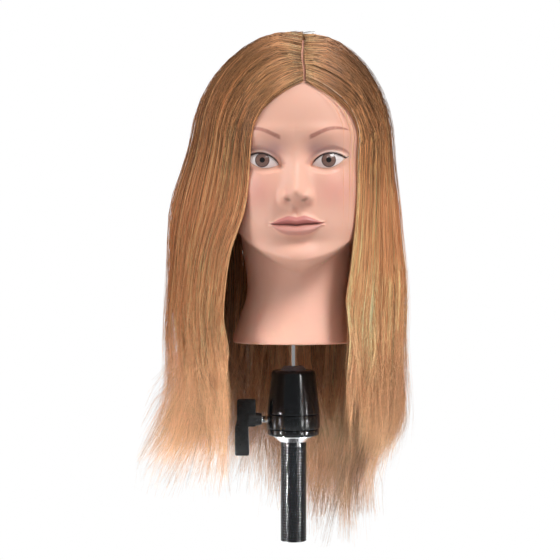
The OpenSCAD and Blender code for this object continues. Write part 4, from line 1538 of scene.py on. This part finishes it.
        if sown.growth is Growth.MASS and sown.side is Side.LEFT:
            r = r - self.thin_in * ease((70 - h) / 110) * ease((a - 52) / 20) * ease((150 - a) / 30)
            kick = np.abs(rng.normal(0, 15, count))[lock] + np.abs(rng.normal(0, 6, n))
            r = r + kick[:, None] * bend * ease((a - 40) / 30) * ease((140 - a) / 30)
        along, at_end = fall.frizz
        r = r + loose * (along * ease((120 - h) / 160) + at_end * end) * ease((a - 30) / 40)
        r = np.maximum(r, self.inside(sign * a, h) - 2)
        if sown.side is Side.RIGHT:
            stop = edge - 2 - 3 * rng.uniform(0, 1, n)[:, None]
            if sown.growth is not Growth.STRAY:
                a = np.maximum(a, stop + 0.15 * (a - stop))
        line = np.stack([sign * r * np.sin(np.radians(a)), -r * np.cos(np.radians(a)), h], -1)
        if sown.side is Side.LEFT:
            self.clear_lever(line)
        return line

    def clear_lever(self, line: Array) -> None:
        """Moves strands in front of the clamp lever aside, so that it can turn and be seen.

        Args:
            line: Points of the strands, changed in place.
        """
        edge, high = self.lever_clear
        x, y, h = line[..., 0], line[..., 1], line[..., 2]
        uneven = np.modf(np.abs(line[:, :1, 1]) * 7.3)[0]
        edge = edge - 9 * uneven + 2.5 * np.sin(TURN * (h / 70 + uneven))
        near = ease((high + 60 - h) / 60) * ease((20 - y) / 20)
        line[..., 0] = np.where(x > edge, lerp(x, edge - (x - edge) * 0.15, near), x)

    def lay(self, sown: Sown, rng: np.random.Generator) -> Array:
        """Lays whole strands.

        Args:
            sown: The strands.
            rng: Source of chance.

        Returns:
            Points of each strand from root to tip, in millimetres.
        """
        line = np.concatenate([self.over_dome(sown, rng), self.hanging(sown, rng)], 1)
        for _ in range(4):
            line[:, 1:-1] = 0.25 * line[:, :-2] + 0.5 * line[:, 1:-1] + 0.25 * line[:, 2:]
        line = self.resample(line)
        line[..., 0] += self.head.centre_x(line[..., 2])
        line[..., 2] += self.head.neck_z
        self.keep_within(line)
        return line

    def keep_within(self, line: Array) -> None:
        """Draws in wisps that stand out beyond the solid hair by more than a little.

        Args:
            line: Points of the strands in millimetres, changed in place.
        """
        left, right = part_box("hair_left")[0].x / MM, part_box("hair_right")[1].x / MM
        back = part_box("hair_back")[1].y / MM
        for axis, limit in ((0, left), (0, right), (1, back)):
            sign = math.copysign(1, limit)
            over = np.maximum(0, sign * (line[..., axis] - limit))
            line[..., axis] -= sign * (over - self.spare * np.tanh(over / self.spare))

    def resample(self, line: Array) -> Array:
        """Spaces each strand's points along it, closer together near the root.

        Args:
            line: Points of each strand.

        Returns:
            As many points on each strand as the tubes have rings.
        """
        step = np.linalg.norm(np.diff(line, axis=1), axis=2)
        far = np.concatenate([np.zeros((len(line), 1)), np.cumsum(step, 1)], 1)
        out = np.empty((len(line), self.segments + 1, 3))
        share = self.shares()
        for i in range(len(line)):
            for c in range(3):
                out[i, :, c] = np.interp(share * far[i, -1], far[i], line[i, :, c])
        return out

    def shares(self) -> Array:
        """Share of a strand's length at each of its rings."""
        return np.linspace(0, 1, self.segments + 1) ** self.crowd

    def tubes(self, name: str, line: Array, width: Array, colour: Array) -> bpy.types.Object:
        """Turns strands into closed, tapered tubes with three sides.

        Args:
            name: The piece's name.
            line: Points of each strand in millimetres.
            width: Radius of each strand.
            colour: Colour of each point of each strand.

        Returns:
            One mesh with all the strands.
        """
        n, rings = line.shape[:2]
        way = np.gradient(line, axis=1)
        way /= np.linalg.norm(way, axis=2, keepdims=True)
        out = line - np.array([self.head.shift, 0, self.head.neck_z + 150.0])
        out[..., 2] *= line[..., 2] > self.head.neck_z + 200
        out = out - (out * way).sum(-1, keepdims=True) * way
        out /= np.maximum(np.linalg.norm(out, axis=2, keepdims=True), 1e-6)
        side = np.cross(way, out)
        s = self.shares()
        taper = np.minimum(1, 0.55 + 6 * s) * np.minimum(1, 0.14 + 1.9 * (1 - s))
        r = (width[:, None] * taper[None, :])[:, :, None, None]
        corner = np.radians([270, 30, 150])[None, None, :, None]
        ring = np.cos(corner) * side[:, :, None, :] + np.sin(corner) * out[:, :, None, :]
        points = line[:, :, None, :] + r * ring
        base = (np.arange(n) * rings * 3)[:, None, None]
        row = base + (np.arange(rings - 1) * 3)[None, :, None]
        c = np.arange(3)[None, None, :]
        d = (c + 1) % 3
        quads = np.stack([row + c, row + d, row + 3 + d, row + 3 + c], -1).reshape(-1, 4)
        first = base[:, 0] + np.array([[2, 1, 0]])
        last = base[:, 0] + (rings - 1) * 3 + np.array([[0, 1, 2]])
        obj = mesh_object(name, points.reshape(-1, 3), [quads, np.concatenate([first, last])])
        paint(obj, "tone", colour.repeat(3, axis=1).reshape(-1, 3))
        self.unfold(obj, n, rings)
        return obj

    def colours(self, line: Array, sown: Sown) -> Array:
        """Colour of each point of each strand, with painted highlight and painted shade in it.

        Args:
            line: Points of each strand.
            sown: The strands.

        Returns:
            Linear colours.
        """
        x, h = line[..., 0] - self.head.shift, line[..., 2] - self.head.neck_z
        away = np.hypot(x, np.maximum(0, line[..., 1]))
        over = self.bend_r * np.arctan2(away, np.maximum(h - self.bend_h, 0.1))
        down = self.bend_r * math.pi / 2 + self.bend_h - h
        fall = self.fall(sown.side)
        # far places the painted highlight over the dome
        far = np.where(h > self.bend_h, over * fall.painted_shine_band, down) + 9 * sown.tone[:, None]
        if sown.growth is Growth.STRAY:
            far = np.full(far.shape, self.stray_hue)
        places = [place for place, _ in self.hues_and_painted_shine]
        linear = np.array([srgb(*hue)[:3] for _, hue in self.hues_and_painted_shine])
        base = np.stack([np.interp(far, places, linear[:, c]) for c in range(3)], -1)
        front = self.edge(sown.side, np.array(self.dome_h))
        # painted shade: deeper strands are darker, less so low down and near the front edge
        deep = 0.38 * (np.clip(sown.depth, 0, 1) * ease((sown.angle - front) / 30))[:, None]
        deep = deep * (1 - 0.85 * ease((60 - h) / 150))
        tips = 0.4 * ease((self.shares() - 0.72) / 0.28) * ease((20 - h) / 60)
        streak = lerp(0.27, 0.55, ease((h - 120) / 80))
        # painted light: the strands of the side that faces the key lamp are lighter above their ends
        side = lerp(1.0, fall.bright, ease((h + 20) / 60))
        shade = side * (1 - deep) * (1 - tips) * (1 + streak * sown.tone[:, None])
        return np.clip(base * shade[..., None], 0.01, 0.97)

    def unfold(self, obj: bpy.types.Object, n: int, rings: int) -> None:
        """Gives each strand its own cell of the piece's texture map.

        Args:
            obj: The piece.
            n: Number of strands.
            rings: Points along each strand.
        """
        tall = 8
        wide = -(-n // tall)
        i, j = np.meshgrid(np.arange(n), np.arange(rings), indexing="ij")
        u = np.stack([(i % wide + q) / wide for q in (0.2, 0.5, 0.8)], -1)
        v = np.repeat((((i // wide) + 0.04 + 0.92 * j / (rings - 1)) / tall)[..., None], 3, -1)
        uv = np.stack([u, v], -1).reshape(-1, 2)
        layer = obj.data.uv_layers.new(name="OFBake")
        corner = np.empty(len(obj.data.loops), np.int32)
        obj.data.loops.foreach_get("vertex_index", corner)
        layer.uv.foreach_set("vector", uv[corner].astype(np.float32).ravel())

    def dress(self) -> list[bpy.types.Object]:
        """Makes all the hair and lets it ride on the head.

        Returns:
            The pieces.
        """
        rng = np.random.default_rng(self.seed)
        finish = HairFinish().build()
        made = []
        for side in Side:
            for growth in Growth:
                if growth is Growth.STRAY and side is Side.LEFT:
                    continue
                sown = self.sow(side, growth, rng)
                line = self.lay(sown, rng)
                colour = self.colours(line, sown)
                count = -(-len(line) // self.per_piece)
                for i, part in enumerate(np.array_split(np.arange(len(line)), count)):
                    name = f"hair_{side.name.lower()}_{growth.name.lower()}_{i + 1}"
                    obj = self.tubes(name, line[part], sown.width[part], colour[part])
                    obj.data.materials.append(finish)
                    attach(obj, "head")
                    made.append(obj)
        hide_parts("hair_left")
        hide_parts("hair_right", "hair_back")
        return made


Outline = list[tuple[float, float]]


class Bench:
    """Modelling steps that the hard pieces share."""

    @staticmethod
    def draw(name: str, outline: Outline) -> bpy.types.Object:
        """Draws an outline point by point, and stays in edit mode with all of it selected.

        Args:
            name: The new object's name.
            outline: Points (x, z) in millimetres, ending where it starts if it is closed.

        Returns:
            The new object.
        """
        bpy.ops.object.select_all(action="DESELECT")
        bpy.ops.mesh.primitive_plane_add(size=MM)
        obj = bpy.context.object
        obj.name = obj.data.name = name
        bpy.ops.object.mode_set(mode="EDIT")
        bpy.ops.mesh.select_all(action="SELECT")
        bpy.ops.mesh.merge(type="CENTER")
        bpy.ops.transform.translate(value=(outline[0][0] * MM, 0, outline[0][1] * MM))
        for (x0, z0), (x1, z1) in zip(outline, outline[1:]):
            step = ((x1 - x0) * MM, 0, (z1 - z0) * MM)
            bpy.ops.mesh.extrude_vertices_move(TRANSFORM_OT_translate={"value": step})
        bpy.ops.mesh.select_all(action="SELECT")
        bpy.ops.mesh.remove_doubles(threshold=0.001 * MM)
        return obj

    @staticmethod
    def turn(middle: Place, axis: Place, steps: int = 96) -> None:
        """Spins the outline that is drawn in edit mode into a turned piece, and leaves edit mode.

        Args:
            middle: A point of the axis in millimetres.
            axis: Direction of the axis.
            steps: Number of sides.
        """
        centre = tuple(v * MM for v in middle)
        bpy.ops.mesh.spin(steps=steps, angle=TURN, center=centre, axis=axis)
        bpy.ops.mesh.select_all(action="SELECT")
        bpy.ops.mesh.remove_doubles(threshold=0.002 * MM)
        bpy.ops.mesh.normals_make_consistent(inside=False)
        bpy.ops.object.mode_set(mode="OBJECT")

    @staticmethod
    def upright(name: str, outline: Outline, soft: float = 0.0) -> bpy.types.Object:
        """Makes a piece turned about the post's axis.

        Args:
            name: Its name.
            outline: Points (radius, height), ending where it starts or with both ends on the axis.
            soft: Width of the rounding of its edges, 0 for none.

        Returns:
            The piece.
        """
        obj = Bench.draw(name, outline)
        Bench.turn((0.0, 0.0, 0.0), (0.0, 0.0, 1.0))
        Bench.soften(obj, soft)
        return obj

    @staticmethod
    def apply(obj: bpy.types.Object, kind: str, **values: object) -> None:
        """Adds a modifier and applies it.

        Args:
            obj: The object.
            kind: The modifier's type.
            **values: Its settings.
        """
        modifier = obj.modifiers.new(kind.lower(), kind)
        for key, value in values.items():
            setattr(modifier, key, value)
        bpy.context.view_layer.objects.active = obj
        bpy.ops.object.modifier_apply(modifier=modifier.name)

    @staticmethod
    def soften(obj: bpy.types.Object, width: float, angle: float = 30.0) -> None:
        """Rounds the edges of a piece and shades it smoothly between sharp ones.

        Args:
            obj: The piece.
            width: Width of the rounding in millimetres, 0 for none.
            angle: Angle in degrees from which an edge is sharp.
        """
        bpy.ops.object.select_all(action="DESELECT")
        obj.select_set(True)
        bpy.context.view_layer.objects.active = obj
        if width:
            Bench.apply(
                obj, "BEVEL", width=width * MM, segments=3, limit_method="ANGLE",
                angle_limit=math.radians(angle), harden_normals=False,
            )
        bpy.ops.object.shade_smooth_by_angle(angle=math.radians(angle))

    @staticmethod
    def combine(obj: bpy.types.Object, other: bpy.types.Object, operation: str) -> None:
        """Joins another piece to a piece, or cuts it out, and removes it.

        Args:
            obj: The piece that stays.
            other: The other piece.
            operation: UNION or DIFFERENCE.
        """
        Bench.apply(obj, "BOOLEAN", operation=operation, object=other, solver="EXACT")
        bpy.data.objects.remove(other)

    @staticmethod
    def fit(
        obj: bpy.types.Object, node: str, body: str, finish: str, paint_of: dict[str, bpy.types.Material],
    ) -> bpy.types.Object:
        """Gives a piece its finish and puts it in its node's place.

        Args:
            obj: The piece.
            node: The node that it replaces.
            body: The body that it rides on.
            finish: Name of its finish.
            paint_of: The materials by name.

        Returns:
            The piece.
        """
        obj.data.materials.clear()
        obj.data.materials.append(paint_of[finish])
        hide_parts(node)
        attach(obj, body)
        return obj


@dataclass
class Post:
    """The ribbed post with the bright collar at its top."""

    r: float = 12.5
    wall: float = 2.0
    show: float = 95.5
    top: float = 105.0
    seat_r: float = 12.3
    rib_end: float = 1.5
    rib_pitch: float = 2.6
    rib_depth: float = 0.5
    rib: tuple[tuple[float, float], ...] = (
        (0.0, 0.2), (0.4, 0.6), (1.0, 1.0), (1.6, 0.6), (2.0, 0.2), (2.6, 0.05), (3.6, 0.0), (4.6, 0.05),
    )
    collar_r: float = 20.0
    collar_h: float = 6.0
    collar_lip: float = 1.5
    play: float = 0.05
    soft: float = 0.22

    def build_tube(self) -> bpy.types.Object:
        """Makes the tube with a rounded groove between two ribs.

        Returns:
            The tube.
        """
        line = [(self.r - self.wall, 0.0), (self.r - 0.3, 0.0), (self.r, 0.3)]
        count = math.floor((self.show - 2 * self.rib_end) / self.rib_pitch)
        half = self.rib_depth
        for i in range(count):
            z = self.rib_end + i * self.rib_pitch
            for share, deep in self.rib:
                line.append((self.r - deep * half, z + share * half))
        line += [
            (self.r, self.show), (self.seat_r, self.show), (self.seat_r, self.top),
            (self.r - self.wall, self.top), line[0],
        ]
        return Bench.upright("ribbed_post", line)

    def build_collar(self) -> bpy.types.Object:
        """Makes the collar, which widens upwards.

        Returns:
            The collar.
        """
        hole, low, z = self.seat_r + self.play, self.r + self.collar_lip, self.show
        high = z + self.collar_h
        line = [
            (hole, z), (low, z), (low + 0.6, z + 0.6), (self.collar_r - 1, high - 1.8),
            (self.collar_r, high - 1), (self.collar_r, high), (hole, high), (hole, z),
        ]
        return Bench.upright("bright_collar", line, self.soft)

    def dress(self, paint_of: dict[str, bpy.types.Material]) -> list[bpy.types.Object]:
        """Makes the pieces and fixes them to the stand.

        Args:
            paint_of: The finishes by name.

        Returns:
            The pieces.
        """
        return [
            Bench.fit(self.build_tube(), "post_tube", "stand", "post_black", paint_of),
            Bench.fit(self.build_collar(), "lock_collar", "stand", "chrome", paint_of),
        ]


@dataclass
class Housing:
    """The black housing of the ball joint: base cup, clamp ring and cone."""

    base_z: float = 101.5
    ring_z: float = 108.0
    cone_z: float = 122.0
    cone_top: float = 164.52
    base_r: float = 24.8
    base_round: float = 2.0
    ring_r: float = 25.5
    cone_top_r: float = 21.2
    cone_round: float = 4.0
    seam: float = 0.8
    seat_r: float = 15.15
    ball_z: float = 155.9
    mouth_a: float = 58.03
    lip: float = 0.6
    bore: float = 12.35
    ring_bore: float = 17.0
    screw_z: float = 116.9
    screw_hole_r: float = 4.6
    hole_end: float = 11.0
    soft: float = 0.25

    def build_cup(self) -> bpy.types.Object:
        """Makes the base cup with its rounded foot.

        Returns:
            The cup.
        """
        r, k, z = self.base_r, self.base_round, self.base_z
        foot = [(r - k + k * math.sin(t), z + k - k * math.cos(t)) for t in np.radians(np.arange(0, 91, 15))]
        line = [
            (self.bore, z), *foot, (r, self.ring_z - self.seam), (r - self.seam, self.ring_z),
            (self.bore, self.ring_z), (self.bore, z),
        ]
        return Bench.upright("housing_cup", line, self.soft)

    def build_ring(self) -> bpy.types.Object:
        """Makes the clamp ring with the hole for the screw.

        Returns:
            The ring.
        """
        r, s, low, high = self.ring_r, self.seam, self.ring_z, self.cone_z
        line = [
            (self.ring_bore, low), (r - s, low), (r, low + s), (r, high - s), (r - s, high),
            (self.ring_bore, high), (self.ring_bore, low),
        ]
        ring = Bench.upright("housing_ring", line, self.soft)
        start, end = -r - 1, -self.hole_end
        hole = [(start, 0.0), (start, self.screw_hole_r), (end, self.screw_hole_r), (end, 0.0)]
        cutter = Bench.draw("cutter", [(x, self.screw_z + z) for x, z in hole])
        Bench.turn((0.0, 0.0, self.screw_z), (1.0, 0.0, 0.0), 48)
        Bench.combine(ring, cutter, "DIFFERENCE")
        Bench.soften(ring, 0.0)
        return ring

    def build_cone(self) -> bpy.types.Object:
        """Makes the cone with its rounded shoulder and the mouth round the ball.

        Returns:
            The cone.
        """
        k, top, mouth = self.cone_round, self.cone_top, math.radians(self.mouth_a)
        shoulder = [
            (self.cone_top_r - k * (1 - math.cos(t)), top - k * (1 - math.sin(t)))
            for t in np.radians(np.linspace(0, 90, 13))
        ]
        mouth_r = self.seat_r * math.sin(mouth)
        inside = [
            (self.seat_r * math.sin(t), self.ball_z + self.seat_r * math.cos(t))
            for t in np.linspace(mouth, math.pi / 2, 9)
        ]
        line = [
            (self.seat_r, self.cone_z), (self.ring_r - self.seam, self.cone_z),
            (self.ring_r, self.cone_z + self.seam), *shoulder, (mouth_r + self.lip, top), *inside,
            (self.seat_r, self.cone_z),
        ]
        return Bench.upright("housing_shell", line, self.soft)

    def dress(self, paint_of: dict[str, bpy.types.Material]) -> list[bpy.types.Object]:
        """Makes the pieces and fixes them to the stand.

        Args:
            paint_of: The finishes by name.

        Returns:
            The pieces.
        """
        return [
            Bench.fit(self.build_cup(), "base_cup", "stand", "black_plastic", paint_of),
            Bench.fit(self.build_ring(), "clamp_ring", "stand", "black_plastic", paint_of),
            Bench.fit(self.build_cone(), "housing_cone", "stand", "black_plastic", paint_of),
        ]


@dataclass
class Clamp:
    """The clamp lever with its screw."""

    screw_z: float = 116.9
    screw_r: float = 3.5
    screw_near: float = 11.55
    screw_end: float = 44.8
    thread: float = 1.0
    thread_deep: float = 0.35
    hub_near: float = 30.4
    hub_far: float = 42.4
    hub_r: float = 5.5
    hub_far_r: float = 7.5
    tab_near: float = 36.4
    tab_far: float = 54.4
    tab_up: float = 19.0
    arm_near: float = 42.6
    arm_far: float = 56.4
    arm_down: float = 35.0
    blade_t: float = 10.0
    corner: float = 2.0
    soft: float = 0.9

    def rounded(self, x: float, z: float, start: float) -> Outline:
        """A quarter of a rounded corner.

        Args:
            x: Distance of its middle from the post's axis.
            z: Height of its middle above the screw.
            start: Angle at which it starts, in degrees.

        Returns:
            Its points.
        """
        turns = np.radians(np.linspace(start, start + 90, 5))
        return [(x + self.corner * math.cos(t), z + self.corner * math.sin(t)) for t in turns]

    def build_blade(self) -> bpy.types.Object:
        """Makes the flat blade: thumb tab above, long arm below.

        Returns:
            The blade.
        """
        c, low = self.corner, -self.hub_far_r
        line = [(self.arm_near + 1, low + 0.5)]
        line += self.rounded(self.arm_near + c, -self.arm_down + c, 180)
        line += self.rounded(self.arm_far - c, -self.arm_down + c, 270)
        line += [(self.arm_far, low), (self.tab_far, 0.0)]
        line += self.rounded(self.tab_far - c, self.tab_up - c, 0)
        line += self.rounded(self.tab_near + c, self.tab_up - c, 90)
        line += [(self.tab_near, low + 0.5), line[0]]
        blade = Bench.draw("lever_blade", [(-x, self.screw_z + z) for x, z in line])
        bpy.ops.mesh.edge_face_add()
        bpy.ops.transform.translate(value=(0, -self.blade_t / 2 * MM, 0))
        bpy.ops.mesh.extrude_region_move(TRANSFORM_OT_translate={"value": (0, self.blade_t * MM, 0)})
        bpy.ops.mesh.select_all(action="SELECT")
        bpy.ops.mesh.normals_make_consistent(inside=False)
        bpy.ops.object.mode_set(mode="OBJECT")
        Bench.soften(blade, self.soft)
        return blade

    def build_hub(self) -> bpy.types.Object:
        """Makes the hub, which widens towards the blade.

        Returns:
            The hub.
        """
        near, far = -self.hub_near, -self.hub_far
        end = far - 2
        line = [(near, 0.0), (near, self.hub_r), (far, self.hub_far_r), (end, self.hub_far_r), (end, 0.0)]
        hub = Bench.draw("lever_hub", [(x, self.screw_z + z) for x, z in line])
        Bench.turn((0.0, 0.0, self.screw_z), (1.0, 0.0, 0.0), 64)
        Bench.soften(hub, 0.6)
        return hub

    def build_screw(self) -> bpy.types.Object:
        """Makes the screw, threaded where it shows.

        Returns:
            The screw.
        """
        line = [(-self.screw_near, 0.0), (-self.screw_near, self.screw_r)]
        count = round((self.hub_near - self.screw_near) / self.thread) - 1
        for i in range(count):
            x = -self.screw_near - (i + 0.5) * self.thread
            line += [(x, self.screw_r), (x - self.thread / 2, self.screw_r - self.thread_deep)]
        line += [(-self.hub_near, self.screw_r), (-self.screw_end, self.screw_r), (-self.screw_end, 0.0)]
        screw = Bench.draw("bright_screw", [(x, self.screw_z + z) for x, z in line])
        Bench.turn((0.0, 0.0, self.screw_z), (1.0, 0.0, 0.0), 48)
        Bench.soften(screw, 0.0, 50.0)
        return screw

    def dress(self, paint_of: dict[str, bpy.types.Material]) -> list[bpy.types.Object]:
        """Makes the pieces and fixes them to the lever.

        Args:
            paint_of: The finishes by name.

        Returns:
            The pieces.
        """
        blade = self.build_blade()
        Bench.combine(blade, self.build_hub(), "UNION")
        Bench.soften(blade, 0.0)
        return [
            Bench.fit(blade, "clamp_lever", "lever", "lever_black", paint_of),
            Bench.fit(self.build_screw(), "clamp_screw", "lever", "chrome", paint_of),
        ]


@dataclass
class Holder:
    """The post, the tilting holder and the fittings in the neck."""

    finishes: tuple[PlainFinish, ...] = (
        PlainFinish("black_plastic", srgb(7, 10, 13), 0.19, spread=0.06, relief=0.02, shine=0.32),
        PlainFinish(
            "lever_black", srgb(5, 6, 7), 0.3, spread=0.2, scale=420, relief=0.4, vary=2.5, shine=0.26,
        ),
        PlainFinish("post_black", srgb(7, 10, 14), 0.17, spread=0.04, scale=300, relief=0.01, shine=0.4),
        PlainFinish("grey_plastic", srgb(74, 78, 84), 0.3),
        PlainFinish("white_plastic", srgb(206, 208, 210), 0.5),
        PlainFinish("chrome", srgb(222, 224, 228), 0.08, Metal.YES, spread=0.06, relief=0.01),
        PlainFinish("steel", srgb(176, 178, 182), 0.3, Metal.YES, spread=0.15),
        PlainFinish("brass", srgb(190, 150, 80), 0.3, Metal.YES, spread=0.12),
        PlainFinish("foam", srgb(226, 214, 168), 0.9, scale=700, relief=0.5),
        PlainFinish("dark_steel", srgb(52, 52, 55), 0.45, Metal.YES, spread=0.15, slot="steel"),
        PlainFinish("neck_vinyl", srgb(232, 172, 150), 0.5, spread=0.1, vary=1.05, slot="skin"),
    )
    inside: tuple[tuple[str, str], ...] = (
        ("post_end_plug", "black_plastic"), ("post_top_plug", "steel"), ("post_bolt", "steel"),
        ("thread_insert", "brass"), ("wedge_plunger", "white_plastic"), ("screw_tip", "brass"),
        ("ball_bush", "grey_plastic"), ("swivel_ball", "grey_plastic"), ("ball_pin", "steel"),
        ("spigot_rod", "chrome"), ("neck_socket", "white_plastic"), ("neck_plate", "neck_vinyl"),
        ("plate_screws", "steel"), ("foam_core", "foam"), ("lever_pin", "dark_steel"),
    )

    def dress(self) -> list[bpy.types.Object]:
        """Makes the pieces that show, and gives those inside their finishes as they come from the CAD model.

        Returns:
            The pieces.
        """
        paint_of = {f.name: f.build() for f in self.finishes}
        pieces = Post().dress(paint_of) + Housing().dress(paint_of) + Clamp().dress(paint_of)
        for node, name in self.inside:
            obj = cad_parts[node]
            obj.data.materials.clear()
            obj.data.materials.append(paint_of[name])
            pieces.append(obj)
        return pieces


@dataclass(frozen=True)
class Lamp:
    """A soft lamp.

    Args:
        name: Its name.
        place: Where it is, in metres.
        size: Its width and height.
        watts: Its power.
        aim: Where it points.
        spread: Angle of its beam in degrees.
    """

    name: str
    place: Place
    size: tuple[float, float]
    watts: float
    aim: Place = (0.0, 0.0, 0.32)
    spread: float = 180.0

    def build(self) -> bpy.types.Object:
        """Makes the lamp.

        Returns:
            The lamp.
        """
        data = bpy.data.lights.new(self.name, "AREA")
        data.shape, data.energy = "RECTANGLE", self.watts
        data.size, data.size_y = self.size
        data.spread = math.radians(self.spread)
        obj = bpy.data.objects.new(self.name, data)
        obj.location = self.place
        obj.rotation_euler = (Vector(self.aim) - Vector(self.place)).to_track_quat("-Z", "Y").to_euler()
        bpy.context.scene.collection.objects.link(obj)
        return obj


@dataclass
class Studio:
    """Camera, lamps and the white room.

    Args:
        eye: Place of the camera in metres.
        lens: Focal length in millimetres.
        floor_z: Height of the floor.
        wall_y: Place of the backdrop.
        half: Half the width of floor and backdrop.
        sky_light: Strength of the light from all round.
        sky_seen: Strength of the sky where the camera sees it.
        lamps: The lamps, of which the narrow ones make the glints on the holder and light the low hair.
    """

    eye: Place = (-0.013, -1.3, 0.251)
    lens: float = 86.6
    floor_z: float = -0.6
    wall_y: float = 2.2
    half: float = 4.0
    sky_light: float = 0.36
    sky_seen: float = 1.0
    lamps: tuple[Lamp, ...] = (
        Lamp("key", (0.95, -0.85, 1.75), (0.6, 0.6), 20.0),
        Lamp("left", (-1.6, -0.2, 0.75), (0.9, 0.9), 18.0),
        Lamp("right", (1.0, -0.95, 1.5), (0.5, 0.5), 9.0),
        Lamp("front", (0.2, -1.3, 1.3), (0.25, 0.25), 2.0),
        Lamp("glint_cone", (1.1, -1.36, 0.34), (0.25, 0.12), 0.026, (0.01, -0.02, 0.14), 7.0),
        Lamp("glint_ring", (1.1, -1.36, -0.07), (0.25, 0.12), 0.016, (0.01, -0.02, 0.11), 7.0),
        Lamp("glint_left", (-1.6, 0.0, -0.2), (0.5, 0.3), 0.06, (-0.01, -0.01, 0.05), 7.0),
        Lamp("glint_right", (1.5, -0.87, -0.2), (0.25, 0.3), 0.035, (0.005, -0.01, 0.06), 7.0),
        Lamp("low_left", (-1.4, -0.8, 0.0), (0.12, 0.12), 0.2, (-0.12, -0.05, 0.08), 7.0),
        Lamp("low_right", (1.4, -0.8, 0.0), (0.12, 0.12), 0.06, (0.11, -0.05, 0.07), 7.0),
    )

    def camera(self) -> bpy.types.Object:
        """Sets up the camera, level, along +Y.

        Returns:
            The camera.
        """
        data = bpy.data.cameras.new("camera")
        data.lens, data.sensor_width = self.lens, 36.0
        obj = bpy.data.objects.new("camera", data)
        obj.location, obj.rotation_euler = self.eye, (math.pi / 2, 0, 0)
        bpy.context.scene.collection.objects.link(obj)
        bpy.context.scene.camera = obj
        return obj

    def room(self) -> list[bpy.types.Object]:
        """Makes floor and backdrop, white to the camera.

        Returns:
            Both.
        """
        s = Shader("room")
        s.set(Base_Color=srgb(235, 235, 235), Roughness=0.9)
        path = s.add("ShaderNodeLightPath")
        mirrored = s.maths("MAXIMUM", path.outputs["Is Glossy Ray"], path.outputs["Is Transmission Ray"])
        seen = s.maths("MAXIMUM", path.outputs["Is Camera Ray"], mirrored)
        glow = s.add("ShaderNodeEmission", Strength=1.0)
        mix = s.add("ShaderNodeMixShader")
        s.link(seen, mix.inputs[0])
        s.link(s.surface.outputs[0], mix.inputs[1])
        s.link(glow.outputs[0], mix.inputs[2])
        s.link(mix.outputs[0], s.output.inputs["Surface"])
        e, z, y = self.half, self.floor_z, self.wall_y
        square = [np.array([[0, 1, 2, 3]])]
        floor = mesh_object("floor", np.array([(-e, -e, z), (e, -e, z), (e, y, z), (-e, y, z)]) / MM, square)
        upright = np.array([(-e, y, z), (e, y, z), (e, y, z + e), (-e, y, z + e)])
        wall = mesh_object("backdrop", upright / MM, square)
        for obj in (floor, wall):
            obj.data.materials.append(s.material)
        return [floor, wall]

    def sky(self) -> None:
        """Lights the room evenly from all round."""
        world = bpy.data.worlds.new("sky")
        bpy.context.scene.world = world
        world.use_nodes = True
        tree = world.node_tree
        tree.nodes.clear()
        out, back = tree.nodes.new("ShaderNodeOutputWorld"), tree.nodes.new("ShaderNodeBackground")
        path, mix = tree.nodes.new("ShaderNodeLightPath"), tree.nodes.new("ShaderNodeMix")
        mix.data_type = "FLOAT"
        mix.inputs[2].default_value, mix.inputs[3].default_value = self.sky_light, self.sky_seen
        tree.links.new(path.outputs["Is Camera Ray"], mix.inputs[0])
        tree.links.new(mix.outputs[0], back.inputs["Strength"])
        tree.links.new(back.outputs[0], out.inputs["Surface"])

    def dress(self) -> None:
        """Sets up the whole studio."""
        view = bpy.context.scene.view_settings
        view.view_transform = "Standard"
        self.camera()
        self.room()
        self.sky()
        for lamp in self.lamps:
            lamp.build()


def report(pieces: list[bpy.types.Object]) -> None:
    """Logs each piece with its number of faces."""
    for obj in pieces:
        log.info("%s: %d faces", obj.name, len(obj.data.polygons))


def main() -> None:
    """Builds the looks of the whole object."""
    logging.basicConfig(level=logging.INFO, format="%(message)s")
    bpy.ops.object.select_all(action="DESELECT")
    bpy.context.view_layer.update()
    form = HeadForm(neck_z=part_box("face_shell")[0].z / MM)
    report(Head(form).dress())
    report(Hair(form).dress())
    report(Holder().dress())
    Studio().dress()


if __name__ == "__main__":
    main()
